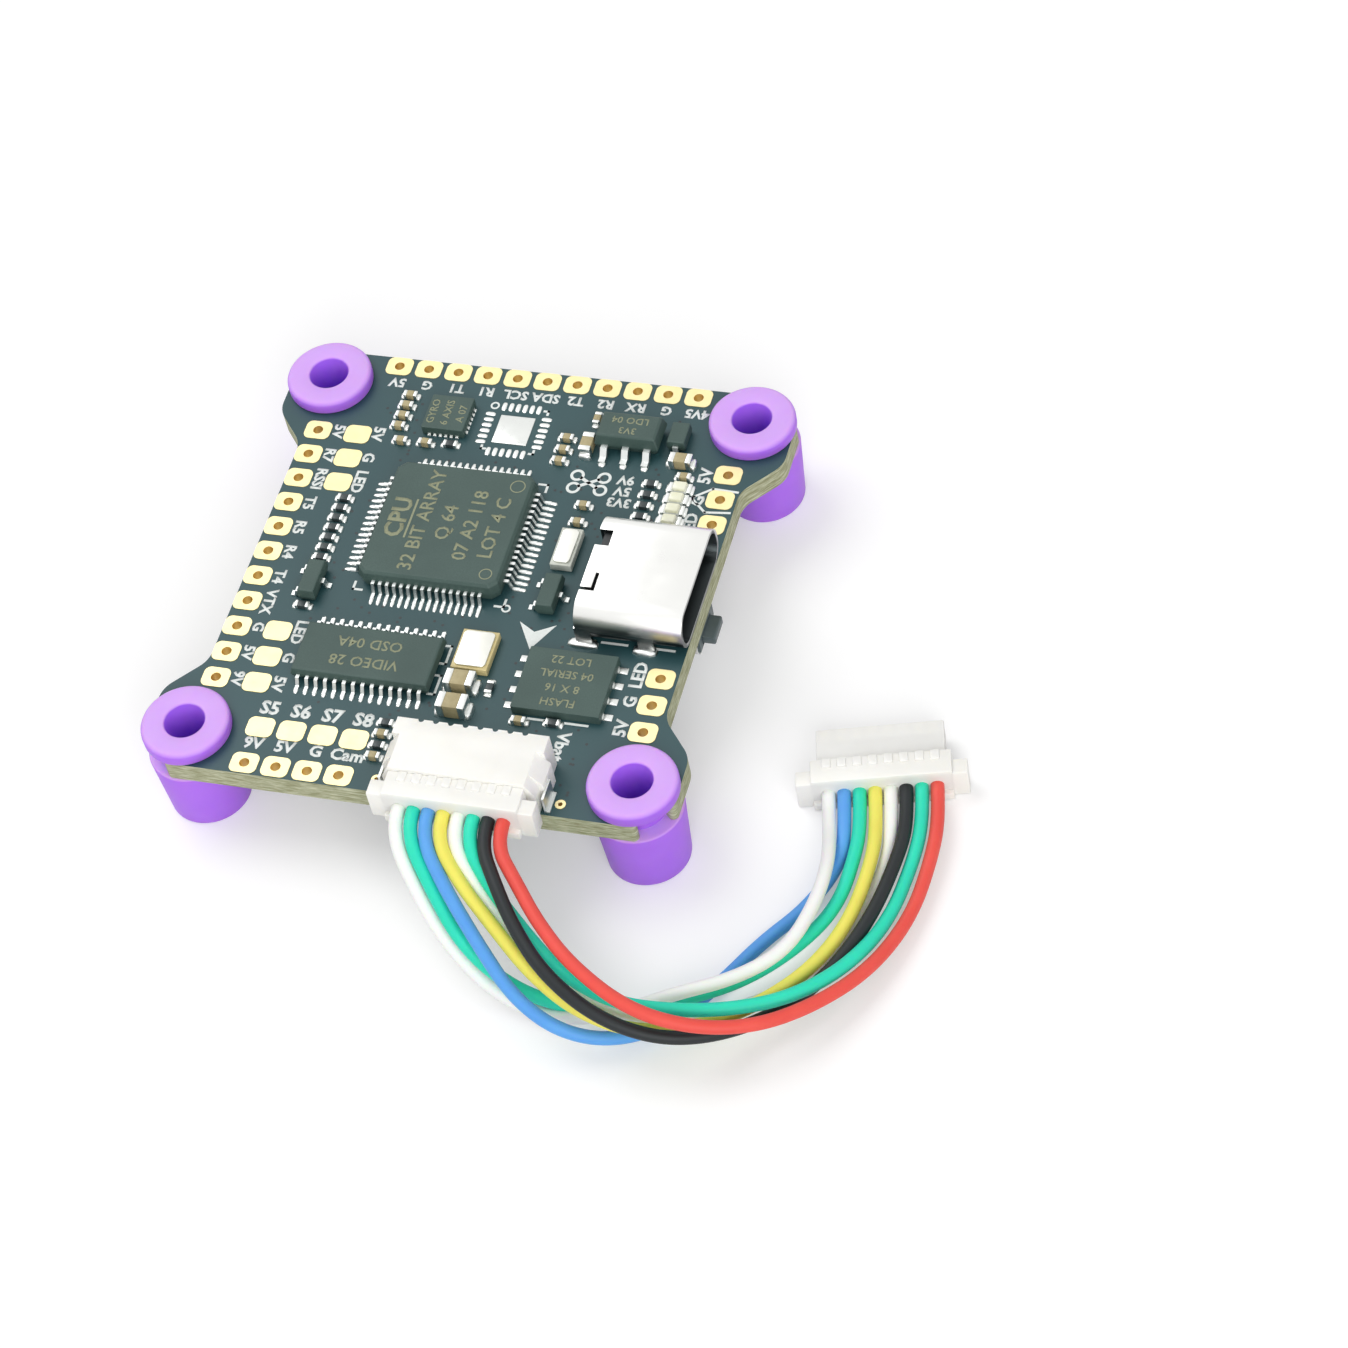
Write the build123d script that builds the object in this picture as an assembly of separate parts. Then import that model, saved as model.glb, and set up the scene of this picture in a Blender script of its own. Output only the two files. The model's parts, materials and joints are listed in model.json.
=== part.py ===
from build123d import *
import math
import os

# Flight controller board for a multirotor: a square circuit board on four soft
# grommets, with its chips, a USB-C receptacle, a side-press boot button on the
# underside and an eight-wire harness that plugs into a side-entry socket.
# +Z is up and +Y points away from the harness. The origin is the centre of the
# screw pattern, on the plane of the grommet feet. Millimetres throughout.

# ---- Board ----
bolt_spacing = 30.5
board_size = 36.2
board_thickness = 1.6
waist_width = 31.5
waist_length = 19.16
ear_slope_run = 2.68
waist_fillet = 2.0
corner_slot_width = 2.2
slot_tip_fillet = 0.35

# ---- Grommets ----
barrel_height = 5.2
barrel_radius = 3.05
foot_radius = 2.75
neck_radius = 2.0
neck_clearance = 0.05
flange_radius = 2.98
flange_height = 1.0
flange_fillet = 0.35
screw_bore_radius = 1.35

# ---- Pads ----
pad_pitch = 2.17
pad_hole_radius = 0.35
barrel_wall = 0.06
barrel_clearance = 0.02
pad_metal = 0.05
pad_long = 1.86
pad_short = 1.56
pad_corner = 0.45
via_size = 0.7
via_bore = 0.15
far_pad_inset = 0.8
side_pad_inset = 0.95
near_pad_inset = 0.85
side_pads = 11
inner_column_x = -11.9
servo_row_y = -14.33
servo_row_x = -10.46

# ---- Common chip values ----
chip_standoff = 0.1
terminal_proud = 0.03
terminal_height = 0.22

# ---- USB-C receptacle ----
usb_width = 8.94
usb_height = 3.16
usb_wall = 0.3
usb_depth = 7.3
usb_side_radius = 1.4
usb_leg_width = 1.1
usb_leg_drop = 0.9
usb_leg_spacing = 4.25
usb_rear_leg_inset = 0.45
usb_tongue_width = 6.7
usb_tongue_thickness = 0.7
usb_contact_pitch = 0.5

# ---- Socket and plugs, one contact every pitch ----
wire_count = 8
contact_pitch = 1.0
socket_x = 4.7
socket_depth = 4.0
socket_height = 2.95
socket_side = 1.6
socket_shoulder = 1.9
plug_clearance = 0.12
plug_nose_length = 2.7
plug_nose_height = 1.75
plug_exposed = 2.2
plug_lip = 0.35
socket_tab_length = 1.6
socket_overhang = 0.3
socket_front_step = 0.9
plug_height = 2.6
plug_ear = 1.0
contact_blade = 0.25
terminal_cell = 0.6
far_plug_x = 29.45
far_plug_y = -9.3
far_plug_turn = 15.0

# ---- Wires ----
wire_diameter = 0.9
floor_gap = 0.02

# ---- Boot button ----
button_y = -0.3
button_length = 3.5
button_depth = 2.7
button_height = 1.3
button_sheet = 0.12
plunger_width = 1.9
plunger_height = 0.65
plunger_reach = 0.85
plunger_shoulder = 0.25
plunger_gap = 0.1
plunger_travel = 0.25
front_wall = 0.3
shoulder_length = 0.3
dome_sheet = 0.1
dome_room = 0.25

# ---- Worked out from the values above ----
board_bottom = barrel_height
board_top = barrel_height + board_thickness
board_edge = board_size / 2
waist_edge = waist_width / 2
bolt_edge = bolt_spacing / 2
mouth_y = -board_edge
wire_z = board_top + 0.25 + plug_height / 2 - 0.15
far_wire_z = floor_gap + plug_height / 2
contact_offsets = [(i - (wire_count - 1) / 2) * contact_pitch for i in range(wire_count)]
contact_span = (wire_count - 1) * contact_pitch


def block(length, width, height, x=0, y=0, z=0):
    """Box centred on x and y, standing on z."""
    return Pos(x, y, z) * Box(length, width, height, align=(Align.CENTER, Align.CENTER, Align.MIN))


def span(x0, x1, y0, y1, z0, z1):
    """Box between two opposite corners."""
    return Pos(x0, y0, z0) * Box(x1 - x0, y1 - y0, z1 - z0, align=(Align.MIN, Align.MIN, Align.MIN))


def disc(radius, height, x=0, y=0, z=0):
    """Upright cylinder standing on z."""
    return Pos(x, y, z) * Cylinder(radius, height, align=(Align.CENTER, Align.CENTER, Align.MIN))


def place(shape, x, y, z=board_top, turn=0):
    """Shape moved to a spot and turned about its own upright axis."""
    return Pos(x, y, z) * Rot(0, 0, turn) * shape


def save(node, shapes):
    """Write one node, a single solid or a group of separate ones."""
    group = shapes if isinstance(shapes, list) else [shapes]
    solids = [solid for shape in group for solid in shape.solids()]
    whole = solids[0] if len(solids) == 1 else Compound(solids)
    export_step(whole, f"parts/{node}.step")


def gull_wing(reach, rise, foot, width, metal, shoulder):
    """Bent lead running towards +X from a body side at x = 0 down to its foot."""
    bend = metal * 0.4
    profile = Polyline(
        (0, rise - metal),
        (shoulder - bend, rise - metal),
        (reach - foot - bend, 0),
        (reach, 0),
        (reach, metal),
        (reach - foot + bend, metal),
        (shoulder + bend, rise),
        (0, rise),
        close=True,
    )
    flat = extrude(make_face(profile), width / 2, both=True)
    return Rot(90, 0, 0) * flat


def chamfered_chip(length, width, height, bevel, standoff=chip_standoff):
    """Moulded package: its sides draw in from the parting line to the top and bottom."""
    middle = standoff + height / 2
    lower = loft([
        Pos(0, 0, standoff) * Rectangle(length - 2 * bevel, width - 2 * bevel),
        Pos(0, 0, middle) * Rectangle(length, width),
    ])
    upper = loft([
        Pos(0, 0, middle) * Rectangle(length, width),
        Pos(0, 0, standoff + height) * Rectangle(length - 2 * bevel, width - 2 * bevel),
    ])
    return lower + upper


# ---- Board outline, pads and grommets ----
def pad_places():
    """Centres of the plated edge pads, as x and y."""
    run = [(i - (side_pads - 1) / 2) * pad_pitch for i in range(side_pads)]
    far = [(x, board_edge - far_pad_inset) for x in run]
    left = [(-waist_edge + side_pad_inset, y) for y in run]
    right = [(waist_edge - side_pad_inset - 0.18, y) for y in run if abs(y) > 2.5 * pad_pitch]
    near = [(x + 0.27, -board_edge + near_pad_inset) for x in run[:4]]
    return far + left + right + near


def flat_pad_places():
    """Centres of the surface pads without holes."""
    column = [(inner_column_x, side * (3 + i) * pad_pitch) for side in (1, -1) for i in range(3)]
    servo = [(servo_row_x + i * pad_pitch, servo_row_y) for i in range(4)]
    return column + servo


def stitch_vias():
    """Two plated vias beside the socket, as x and y."""
    reach = contact_span / 2 + socket_side + 1.1
    return [(socket_x + side * reach, -board_edge + 0.95) for side in (1, -1)]


def usb_leg_places():
    """Centres of the four legs of the USB shell, as x and y."""
    rear = waist_edge - usb_depth + usb_rear_leg_inset
    side = usb_width / 2 - usb_wall / 2
    return [(rear + step * usb_leg_spacing, sign * side) for step in (0, 1) for sign in (1, -1)]


def slot_tip_radius():
    """Fillet at the tips of the corner slots, held back where the neck hole leaves them a short side."""
    half = corner_slot_width / 2
    side = (board_edge - bolt_edge) * math.sqrt(2) - half
    side -= math.sqrt((neck_radius + neck_clearance) ** 2 - half**2)
    return min(slot_tip_fillet, 0.9 * side * math.tan(math.radians(22.5)))


def circuit_board():
    """Square board, drawn in at its two sides, with corner slots, pad holes and leg slots."""
    e, w, s = board_edge, waist_edge, waist_length / 2
    t = s + ear_slope_run
    outline = Polyline(
        (e, -e), (e, -t), (w, -s), (w, s), (e, t), (e, e),
        (-e, e), (-e, t), (-w, s), (-w, -s), (-e, -t), (-e, -e),
        close=True,
    )
    board = Pos(0, 0, board_bottom) * extrude(make_face(outline), board_thickness)
    sides = [edge for edge in board.edges().filter_by(Axis.Z) if abs(edge.center().Y) < t + 0.1]
    board = fillet(sides, waist_fillet)
    cuts = []
    for sx in (1, -1):
        for sy in (1, -1):
            cuts.append(disc(neck_radius + neck_clearance, board_thickness,
                             sx * bolt_edge, sy * bolt_edge, board_bottom))
            slot = span(0, board_size, -corner_slot_width / 2, corner_slot_width / 2, 0, board_thickness)
            angle = math.degrees(math.atan2(sy, sx))
            cuts.append(place(slot, sx * bolt_edge, sy * bolt_edge, board_bottom, angle))
    for places, bore in ((pad_places(), pad_hole_radius), (stitch_vias(), via_bore)):
        for x, y in places:
            cuts.append(disc(bore + barrel_wall + barrel_clearance, board_thickness, x, y, board_bottom))
    for x, y in usb_leg_places():
        cuts.append(block(usb_leg_width + 0.3, usb_wall + 0.3, board_thickness, x, y, board_bottom))
    board = board - cuts
    tips = [edge for edge in board.edges().filter_by(Axis.Z)
            if max(abs(edge.center().X), abs(edge.center().Y)) > e - 0.01
            and min(abs(edge.center().X), abs(edge.center().Y)) > bolt_edge]
    return fillet(tips, slot_tip_radius())


def plated_pad(x, y, width, depth, corner, bore_radius=pad_hole_radius):
    """Pad on both faces joined by a tube through the board."""
    outer = bore_radius + barrel_wall
    face = extrude(RectangleRounded(width, depth, corner), pad_metal)
    top = Pos(x, y, board_top) * face
    bottom = Pos(x, y, board_bottom - pad_metal) * face
    tube = disc(outer, board_thickness, x, y, board_bottom)
    bore = disc(bore_radius, board_thickness + 2 * pad_metal, x, y, board_bottom - pad_metal)
    return top + tube + bottom - bore


def plated_pads():
    """Every edge pad, and the two vias beside the socket."""
    pads = [plated_pad(x, y, pad_long, pad_short, pad_corner) for x, y in pad_places()]
    vias = [plated_pad(x, y, via_size, via_size, via_size * 0.49, via_bore) for x, y in stitch_vias()]
    return pads + vias


def surface_pads():
    """Flat pads without holes."""
    flat = extrude(RectangleRounded(pad_long, pad_short, pad_corner), pad_metal)
    return [place(flat, x, y) for x, y in flat_pad_places()]


def grommet(x, y):
    """Soft isolator: tapered barrel below the board, neck through it and flange on top."""
    top = board_top + flange_height
    profile = Polyline(
        (screw_bore_radius, 0),
        (foot_radius, 0),
        (barrel_radius, board_bottom),
        (neck_radius, board_bottom),
        (neck_radius, board_top),
        (flange_radius, board_top),
        (flange_radius, top),
        (screw_bore_radius, top),
        close=True,
    )
    body = revolve(Plane.XZ * make_face(profile), Axis.Z)
    rim = [edge for edge in body.edges().filter_by(GeomType.CIRCLE)
           if abs(edge.center().Z - top) < 0.01 and edge.radius > flange_radius - 0.01]
    return Pos(x, y, 0) * fillet(rim, flange_fillet)


# ---- Chips ----
processor = dict(x=-2.65, y=3.0, size=10.0, height=1.4, pins=16, pitch=0.5)
gyro = dict(x=-5.85, y=13.05, size=3.0, height=0.75, pins=6, pitch=0.4)
video_chip = dict(x=-4.85, y=-8.1, length=9.6, width=4.2, height=0.95, pins=14, pitch=0.65)
flash_chip = dict(x=8.7, y=-8.15, length=6.0, width=5.0, height=0.75, pins=4, pitch=1.27)
regulator = dict(x=7.3, y=13.0, length=4.5, width=2.5, height=1.5, pitch=1.5)
transistor = dict(length=2.9, width=1.3, height=1.0, pitch=1.9)
transistor_places = [(-10.7, -2.35, 0), (5.63, -1.15, 0)]
diode = dict(x=10.58, y=13.4, length=1.9, width=1.3, height=0.85)


def row(count, pitch):
    """Offsets of evenly spaced pins about zero."""
    return [(i - (count - 1) / 2) * pitch for i in range(count)]


def processor_parts():
    """Square package with leads on all four sides."""
    p = processor
    body = chamfered_chip(p["size"], p["size"], p["height"], 0.14)
    lead = gull_wing(1.0, 0.86, 0.5, 0.22, 0.12, 0.3)
    leads = []
    for turn in (0, 90, 180, 270):
        for offset in row(p["pins"], p["pitch"]):
            side = Pos(p["size"] / 2, offset, 0) * lead
            leads.append(place(Rot(0, 0, turn) * side, p["x"], p["y"]))
    return place(body, p["x"], p["y"]), leads


def gyro_parts():
    """Leadless square package with terminals down its four sides."""
    g = gyro
    body = block(g["size"], g["size"], g["height"])
    terminals = []
    for turn in (0, 90, 180, 270):
        for offset in row(g["pins"], g["pitch"]):
            pad = block(terminal_proud, 0.22, terminal_height, g["size"] / 2 + terminal_proud / 2, offset)
            terminals.append(place(Rot(0, 0, turn) * pad, g["x"], g["y"]))
    return place(body, g["x"], g["y"]), terminals


def video_chip_parts():
    """Long package with leads on its two long sides."""
    v = video_chip
    body = chamfered_chip(v["length"], v["width"], v["height"], 0.1)
    lead = gull_wing(1.0, 0.62, 0.5, 0.24, 0.12, 0.25)
    leads = []
    for turn in (90, 270):
        for offset in row(v["pins"], v["pitch"]):
            side = Pos(v["width"] / 2, offset, 0) * lead
            leads.append(place(Rot(0, 0, turn) * side, v["x"], v["y"]))
    return place(body, v["x"], v["y"]), leads


def flash_chip_parts():
    """Leadless package with terminals on its two short sides."""
    f = flash_chip
    body = block(f["length"], f["width"], f["height"])
    terminals = []
    for turn in (0, 180):
        for offset in row(f["pins"], f["pitch"]):
            pad = block(terminal_proud, 0.42, terminal_height, f["length"] / 2 + terminal_proud / 2, offset)
            terminals.append(place(Rot(0, 0, turn) * pad, f["x"], f["y"]))
    return place(body, f["x"], f["y"]), terminals


def regulator_parts():
    """Power package with three leads on one side and a tab on the other."""
    r = regulator
    body = chamfered_chip(r["length"], r["width"], r["height"], 0.14, 0.02)
    lead = gull_wing(1.15, 0.75, 0.55, 0.46, 0.3, 0.2)
    leads = []
    for offset in row(3, r["pitch"]):
        side = Pos(r["width"] / 2, offset, 0) * lead
        leads.append(place(Rot(0, 0, -90) * side, r["x"], r["y"]))
    tab = block(1.7, 0.5, 0.4, 0, r["width"] / 2 + 0.25)
    leads.append(place(tab, r["x"], r["y"]))
    return place(body, r["x"], r["y"]), leads


def small_transistor(x, y, turn):
    """Three-lead package, long side along Y: two leads towards -X and one towards +X."""
    t = transistor
    body = chamfered_chip(t["width"], t["length"], t["height"], 0.1, 0.05)
    lead = gull_wing(0.6, 0.6, 0.3, 0.4, 0.13, 0.15)
    one = Pos(t["width"] / 2, 0, 0) * lead
    pair = [Rot(0, 0, 180) * Pos(t["width"] / 2, side * t["pitch"] / 2, 0) * lead for side in (1, -1)]
    return place(body, x, y, turn=turn), [place(lead, x, y, turn=turn) for lead in [one] + pair]


def transistors():
    """Both small transistors, as bodies and leads."""
    bodies = []
    leads = []
    for x, y, turn in transistor_places:
        body, legs = small_transistor(x, y, turn)
        bodies.append(body)
        leads += legs
    return bodies, leads


def diode_parts():
    """Two-lead package, long side along Y."""
    d = diode
    body = chamfered_chip(d["width"], d["length"], d["height"], 0.08, 0.02)
    lead = gull_wing(0.4, 0.55, 0.2, 0.4, 0.12, 0.1)
    leads = []
    for turn in (90, 270):
        leads.append(place(Rot(0, 0, turn) * Pos(d["length"] / 2, 0, 0) * lead, d["x"], d["y"]))
    return place(body, d["x"], d["y"]), leads


def crystal(length, width, height, lid, margin):
    """Ceramic tub with a metal lid set in from its rim, long side along Y."""
    tub = block(width, length, height - lid)
    cover = extrude(RectangleRounded(width - 2 * margin, length - 2 * margin, margin * 2), lid)
    return tub, Pos(0, 0, height - lid) * cover


def crystals():
    """Both frequency crystals, each as a tub and a lid."""
    found = {}
    for name, x, y, length, width in (("video_crystal", 2.03, -6.42, 3.2, 2.5),
                                      ("processor_crystal", 5.63, 2.85, 3.2, 1.5)):
        tub, lid = crystal(length, width, 0.75, 0.15, 0.17)
        found[name] = (place(tub, x, y), place(lid, x, y))
    return found


# ---- Two-ended parts: x, y and turn of each, with the long side along X at no turn ----
small_capacitor_size = (1.0, 0.5, 0.5, 0.27)
bulk_capacitor_size = (2.0, 1.25, 1.2, 0.5)
resistor_size = (1.0, 0.5, 0.35, 0.24)
status_led_size = (1.6, 0.8, 0.3, 0.28)
status_led_lens = (1.0, 0.76, 0.28)

beside_socket = socket_x - contact_span / 2 - socket_side - 1.8
capacitor_column = [(-9.15, 14.65 - i * 0.935, 0) for i in range(4)]
small_capacitor_places = capacitor_column + [
    (-8.6, 10.57, 0), (-6.82, 10.61, 0),
    (2.88, 12.37, 0), (2.88, 11.34, 0), (2.88, 10.33, 0),
    (4.5, 14.3, 90), (11.76, 10.1, 0),
    (5.64, 6.75, 0), (5.64, 5.27, 0),
    (6.4, -11.33, 0), (beside_socket, -13.75, 0), (beside_socket, -15.55, 0),
]
medium_capacitor_size = (1.6, 0.85, 0.85, 0.42)
medium_capacitor_places = [(4.5, 11.85, 90), (11.25, 11.3, 0)]
bulk_capacitor_places = [(1.87, -9.15, 0), (1.92, -11.05, 0)]
resistor_column = [(-10.93, 5.09 - i * 0.87, 0) for i in range(7)]
led_resistor_column = [(9.68, 9.26 - i * 0.955, 0) for i in range(5)]
resistor_places = resistor_column + led_resistor_column + [
    (-5.07, 10.78, 0), (-10.88, -4.25, 0), (3.74, -9.0, 90), (8.67, -11.13, 0),
    (beside_socket, -12.8, 0), (beside_socket, -14.62, 0),
]
status_led_places = [(11.74, 9.17 - i * 0.955, 0) for i in range(5)]
underside_capacitor_places = [(-1.0, 9.4, 0), (-1.0, 2.6, 0), (-1.0, -3.4, 0), (-1.0, -10.2, 0)]


def two_ended(size, places, under=False):
    """Bodies and metal ends of every such part in a list of places."""
    length, width, height, end = size
    bodies = []
    ends = []
    for x, y, turn in places:
        spot = Pos(x, y, board_bottom if under else board_top) * Rot(180 if under else 0, 0, turn)
        bodies.append(spot * block(length - 2 * end, width * 0.96, height * 0.97, z=height * 0.01))
        for sign in (1, -1):
            ends.append(spot * block(end, width, height, sign * (length - end) / 2))
    return bodies, ends


def bulk_capacitors():
    """Large capacitors on top, and those of the converters underneath."""
    bodies, ends = two_ended(bulk_capacitor_size, bulk_capacitor_places)
    medium_bodies, medium_ends = two_ended(medium_capacitor_size, medium_capacitor_places)
    under_bodies, under_ends = two_ended(bulk_capacitor_size, underside_capacitor_places, under=True)
    return bodies + medium_bodies + under_bodies, ends + medium_ends + under_ends


def status_lenses():
    """Clear caps on the light-emitting parts."""
    length, width, height = status_led_lens
    lens = loft([
        Rectangle(length, width),
        Pos(0, 0, height) * Rectangle(length - 0.12, width - 0.12),
    ])
    return [place(lens, x, y, board_top + status_led_size[2], turn) for x, y, turn in status_led_places]


# ---- USB-C receptacle ----
def usb_section(inset, length):
    """Flattened oval lying along X, set in from the outside of the shell."""
    width = usb_width - 2 * inset
    height = usb_height - 2 * inset
    oval = RectangleRounded(width, height, usb_side_radius - inset)
    return Pos(0, 0, board_top + usb_height / 2) * Rot(0, 90, 0) * Rot(0, 0, 90) * extrude(oval, length)


def usb_shell():
    """Rolled steel shell, open to +X, with legs through the board and cut-outs at the rear."""
    rear = waist_edge - usb_depth
    shell = Pos(rear, 0, 0) * usb_section(0, usb_depth)
    shell -= Pos(rear + usb_wall, 0, 0) * usb_section(usb_wall, usb_depth)
    roof = board_top + usb_height
    shell -= span(rear - 1, rear + 0.95, 1.35, 2.65, roof - 1.3, roof + 1)
    shell -= span(rear - 1, rear + 1.0, -2.45, -2.2, roof - 0.6, roof + 1)
    shell -= span(rear + 0.75, rear + 1.0, -2.45, -0.95, roof - 0.6, roof + 1)
    for x, y in usb_leg_places():
        leg = block(usb_leg_width, usb_wall, usb_leg_drop + usb_height / 2, x, y, board_top - usb_leg_drop)
        shell += leg
    return shell


def usb_insulator():
    """Moulded block at the rear of the shell and the tongue that carries the contacts."""
    rear = waist_edge - usb_depth + usb_wall
    middle = board_top + usb_height / 2
    base = Pos(rear, 0, 0) * usb_section(usb_wall + 0.05, 1.9)
    half = usb_tongue_thickness / 2
    tongue = span(rear + 1.9, waist_edge - 0.9, -usb_tongue_width / 2, usb_tongue_width / 2,
                  middle - half, middle + half)
    return base + tongue


def usb_contacts():
    """Twelve contact strips on each face of the tongue."""
    rear = waist_edge - usb_depth + usb_wall + 1.9
    middle = board_top + usb_height / 2
    metal = 0.04
    strips = []
    for offset in row(12, usb_contact_pitch):
        for low in (middle + usb_tongue_thickness / 2, middle - usb_tongue_thickness / 2 - metal):
            strips.append(span(rear + 0.2, waist_edge - 1.2, offset - 0.13, offset + 0.13, low, low + metal))
    return strips


# ---- Socket, plugs and harness ----
socket_half = contact_span / 2 + socket_side
nose_half = contact_span / 2 + 0.65
nose_low = wire_z - plug_nose_height / 2
nose_high = wire_z + plug_nose_height / 2
socket_back = mouth_y + socket_depth


def socket_housing():
    """Side-entry housing: shouldered front, taller rear and a notch over each contact."""
    top = board_top + socket_height
    shoulder = board_top + socket_shoulder
    rear = span(-socket_half, socket_half, socket_back - 1.3, socket_back, board_top, top)
    body = rear
    for start, end, overhang in ((socket_back - 1.3, mouth_y + socket_front_step, socket_overhang),
                                 (mouth_y + socket_front_step, mouth_y, 0.0)):
        profile = Polyline(
            (-socket_half - overhang, board_top),
            (socket_half + overhang, board_top),
            (socket_half + overhang, shoulder),
            (socket_half - 0.55, top),
            (-socket_half + 0.55, top),
            (-socket_half - overhang, shoulder),
            close=True,
        )
        body += Pos(0, start, 0) * Rot(90, 0, 0) * extrude(make_face(profile), start - end)
    cavity = span(-nose_half - plug_clearance, nose_half + plug_clearance,
                  mouth_y - 1, mouth_y + plug_nose_length + 0.15,
                  nose_low - plug_clearance, nose_high + plug_clearance)
    body -= cavity
    for offset in contact_offsets:
        body -= disc(0.2, socket_height, offset, socket_back, board_top)
        slot = contact_blade + 0.02
        body -= block(slot, 3, slot, offset, socket_back - 0.5, wire_z - slot / 2)
    return Pos(socket_x, 0, 0) * body


def socket_contacts():
    """Blades that reach into the plug, each with a tail down behind the housing."""
    tip = mouth_y + 0.9
    contacts = []
    for offset in contact_offsets:
        blade = span(-contact_blade / 2, contact_blade / 2, tip, socket_back + 0.12,
                     wire_z - contact_blade / 2, wire_z + contact_blade / 2)
        post = span(-contact_blade / 2, contact_blade / 2, socket_back, socket_back + 0.12,
                    board_top, wire_z + contact_blade / 2)
        foot = span(-contact_blade / 2, contact_blade / 2, socket_back, socket_back + 0.6,
                    board_top, board_top + 0.15)
        contacts.append(Pos(socket_x + offset, 0, 0) * (blade + post + foot))
    return contacts


def socket_tabs():
    """Solder tabs that hold the two ends of the socket, held in its sides behind the front step."""
    side = socket_half + socket_overhang
    middle = mouth_y + 0.15 + socket_tab_length / 2
    tabs = []
    for sign in (1, -1):
        plate = block(0.15, socket_tab_length, 1.5, sign * (side + 0.075), middle, board_top)
        foot = block(0.2, socket_tab_length, 0.15, sign * (side + 0.25), middle, board_top)
        tabs.append(Pos(socket_x, 0, 0) * (plate + foot))
    return tabs


def plug_housing():
    """Plug about its own wire row: nose towards +Y, ears either side, wires out of the -Y face."""
    half = plug_height / 2
    body_half = contact_span / 2 + 1.05
    nose = block(2 * nose_half, plug_nose_length, plug_nose_height,
                 0, plug_exposed + plug_nose_length / 2, -plug_nose_height / 2)
    body = span(-body_half, body_half, plug_lip, plug_exposed, -half, half)
    lip = span(-body_half, body_half, 0, plug_lip + 0.01, -half, -half + 0.7)
    ears = block(2 * (body_half + plug_ear), 1.2, plug_height - 0.25, 0, plug_lip + 0.6, -half)
    housing = nose + body + lip + ears
    for offset in contact_offsets:
        housing += block(0.6, 0.55, 0.12, offset, plug_exposed - 0.35, half)
        housing -= block(terminal_cell, 20, terminal_cell, offset, 0, -terminal_cell / 2)
    return housing


def plug_terminals():
    """Crimped terminals, one in each cell behind the end of its blade."""
    size = terminal_cell - 0.04
    return [block(size, 1.2, size, offset, plug_lip + 0.6, -size / 2) for offset in contact_offsets]


def fitted(shape):
    """A plug piece moved into the socket."""
    return Pos(socket_x, mouth_y - plug_exposed, wire_z) * shape


def laid_down(shape):
    """A plug piece moved to where the far plug lies."""
    spot = Pos(far_plug_x, far_plug_y, far_wire_z) * Rot(0, 0, far_plug_turn)
    return spot * shape


# ---- Boot button on the underside, pressed towards -X ----
button_front = waist_edge
button_middle = board_bottom - button_height / 2 - 0.05


def boot_button():
    """Base, steel cover, T-shaped plunger and the dome that pushes it back."""
    rear = button_front - button_depth
    half = button_length / 2
    base = span(rear, button_front, button_y - half + button_sheet, button_y + half - button_sheet,
                board_bottom - button_height + button_sheet, board_bottom)
    wide = plunger_width / 2 + plunger_shoulder
    tall = plunger_height / 2
    inside = button_front - front_wall
    plunger_rear = inside - plunger_gap / 5 - shoulder_length
    pocket_rear = plunger_rear - plunger_travel - dome_room
    pocket = span(pocket_rear, inside,
                  button_y - wide - plunger_gap, button_y + wide + plunger_gap,
                  button_middle - tall - plunger_gap, button_middle + tall + plunger_gap)
    window = span(button_front - 1, button_front + 1,
                  button_y - plunger_width / 2 - plunger_gap, button_y + plunger_width / 2 + plunger_gap,
                  button_middle - tall - plunger_gap, button_middle + tall + plunger_gap)
    base = base - pocket - (window - pocket)
    cover = span(rear, button_front, button_y - half, button_y + half,
                 board_bottom - button_height, board_bottom - button_height + button_sheet)
    for sign in (1, -1):
        middle = button_y + sign * (half - button_sheet / 2)
        cover += block(button_depth - 0.4, button_sheet, button_height, rear + button_depth / 2,
                       middle, board_bottom - button_height)
    head = span(plunger_rear, button_front + plunger_reach,
                button_y - plunger_width / 2, button_y + plunger_width / 2,
                button_middle - tall, button_middle + tall)
    shoulder = span(plunger_rear, plunger_rear + shoulder_length,
                    button_y - wide, button_y + wide, button_middle - tall, button_middle + tall)
    plunger = head + shoulder
    rounded = [edge for edge in plunger.edges() if edge.center().X > button_front + plunger_reach - 0.01]
    plunger = fillet(rounded, 0.12)
    dome = span(pocket_rear, pocket_rear + dome_sheet, button_y - wide, button_y + wide,
                button_middle - tall, button_middle + tall)
    dome += block(dome_sheet, plunger_width * 0.5, plunger_height * 0.6,
                  pocket_rear + 1.5 * dome_sheet, button_y, button_middle - plunger_height * 0.3)
    return base, cover, plunger, dome


# ---- Power parts on the underside ----
inductor_places = [(-6.5, 6.0), (-6.5, -6.8)]
converter_places = [(3.4, 6.0), (3.4, -6.8)]
inductor_size = 4.2
inductor_height = 2.0


def inductors():
    """Shielded power inductors with chamfered corners."""
    coil = block(inductor_size, inductor_size, inductor_height)
    coil = chamfer(coil.edges().filter_by(Axis.Z), 0.6)
    return [Pos(x, y, board_bottom) * Rot(180, 0, 0) * coil for x, y in inductor_places]


def converters():
    """Six-lead switching converters, long side along Y."""
    body = chamfered_chip(1.6, 2.9, 1.0, 0.1, 0.05)
    lead = gull_wing(0.6, 0.6, 0.3, 0.36, 0.13, 0.15)
    bodies = []
    leads = []
    for x, y in converter_places:
        spot = Pos(x, y, board_bottom) * Rot(180, 0, 0)
        bodies.append(spot * body)
        for turn in (0, 180):
            for offset in row(3, 0.95):
                leads.append(spot * Rot(0, 0, turn) * Pos(0.8, offset, 0) * lead)
    return bodies, leads


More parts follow.
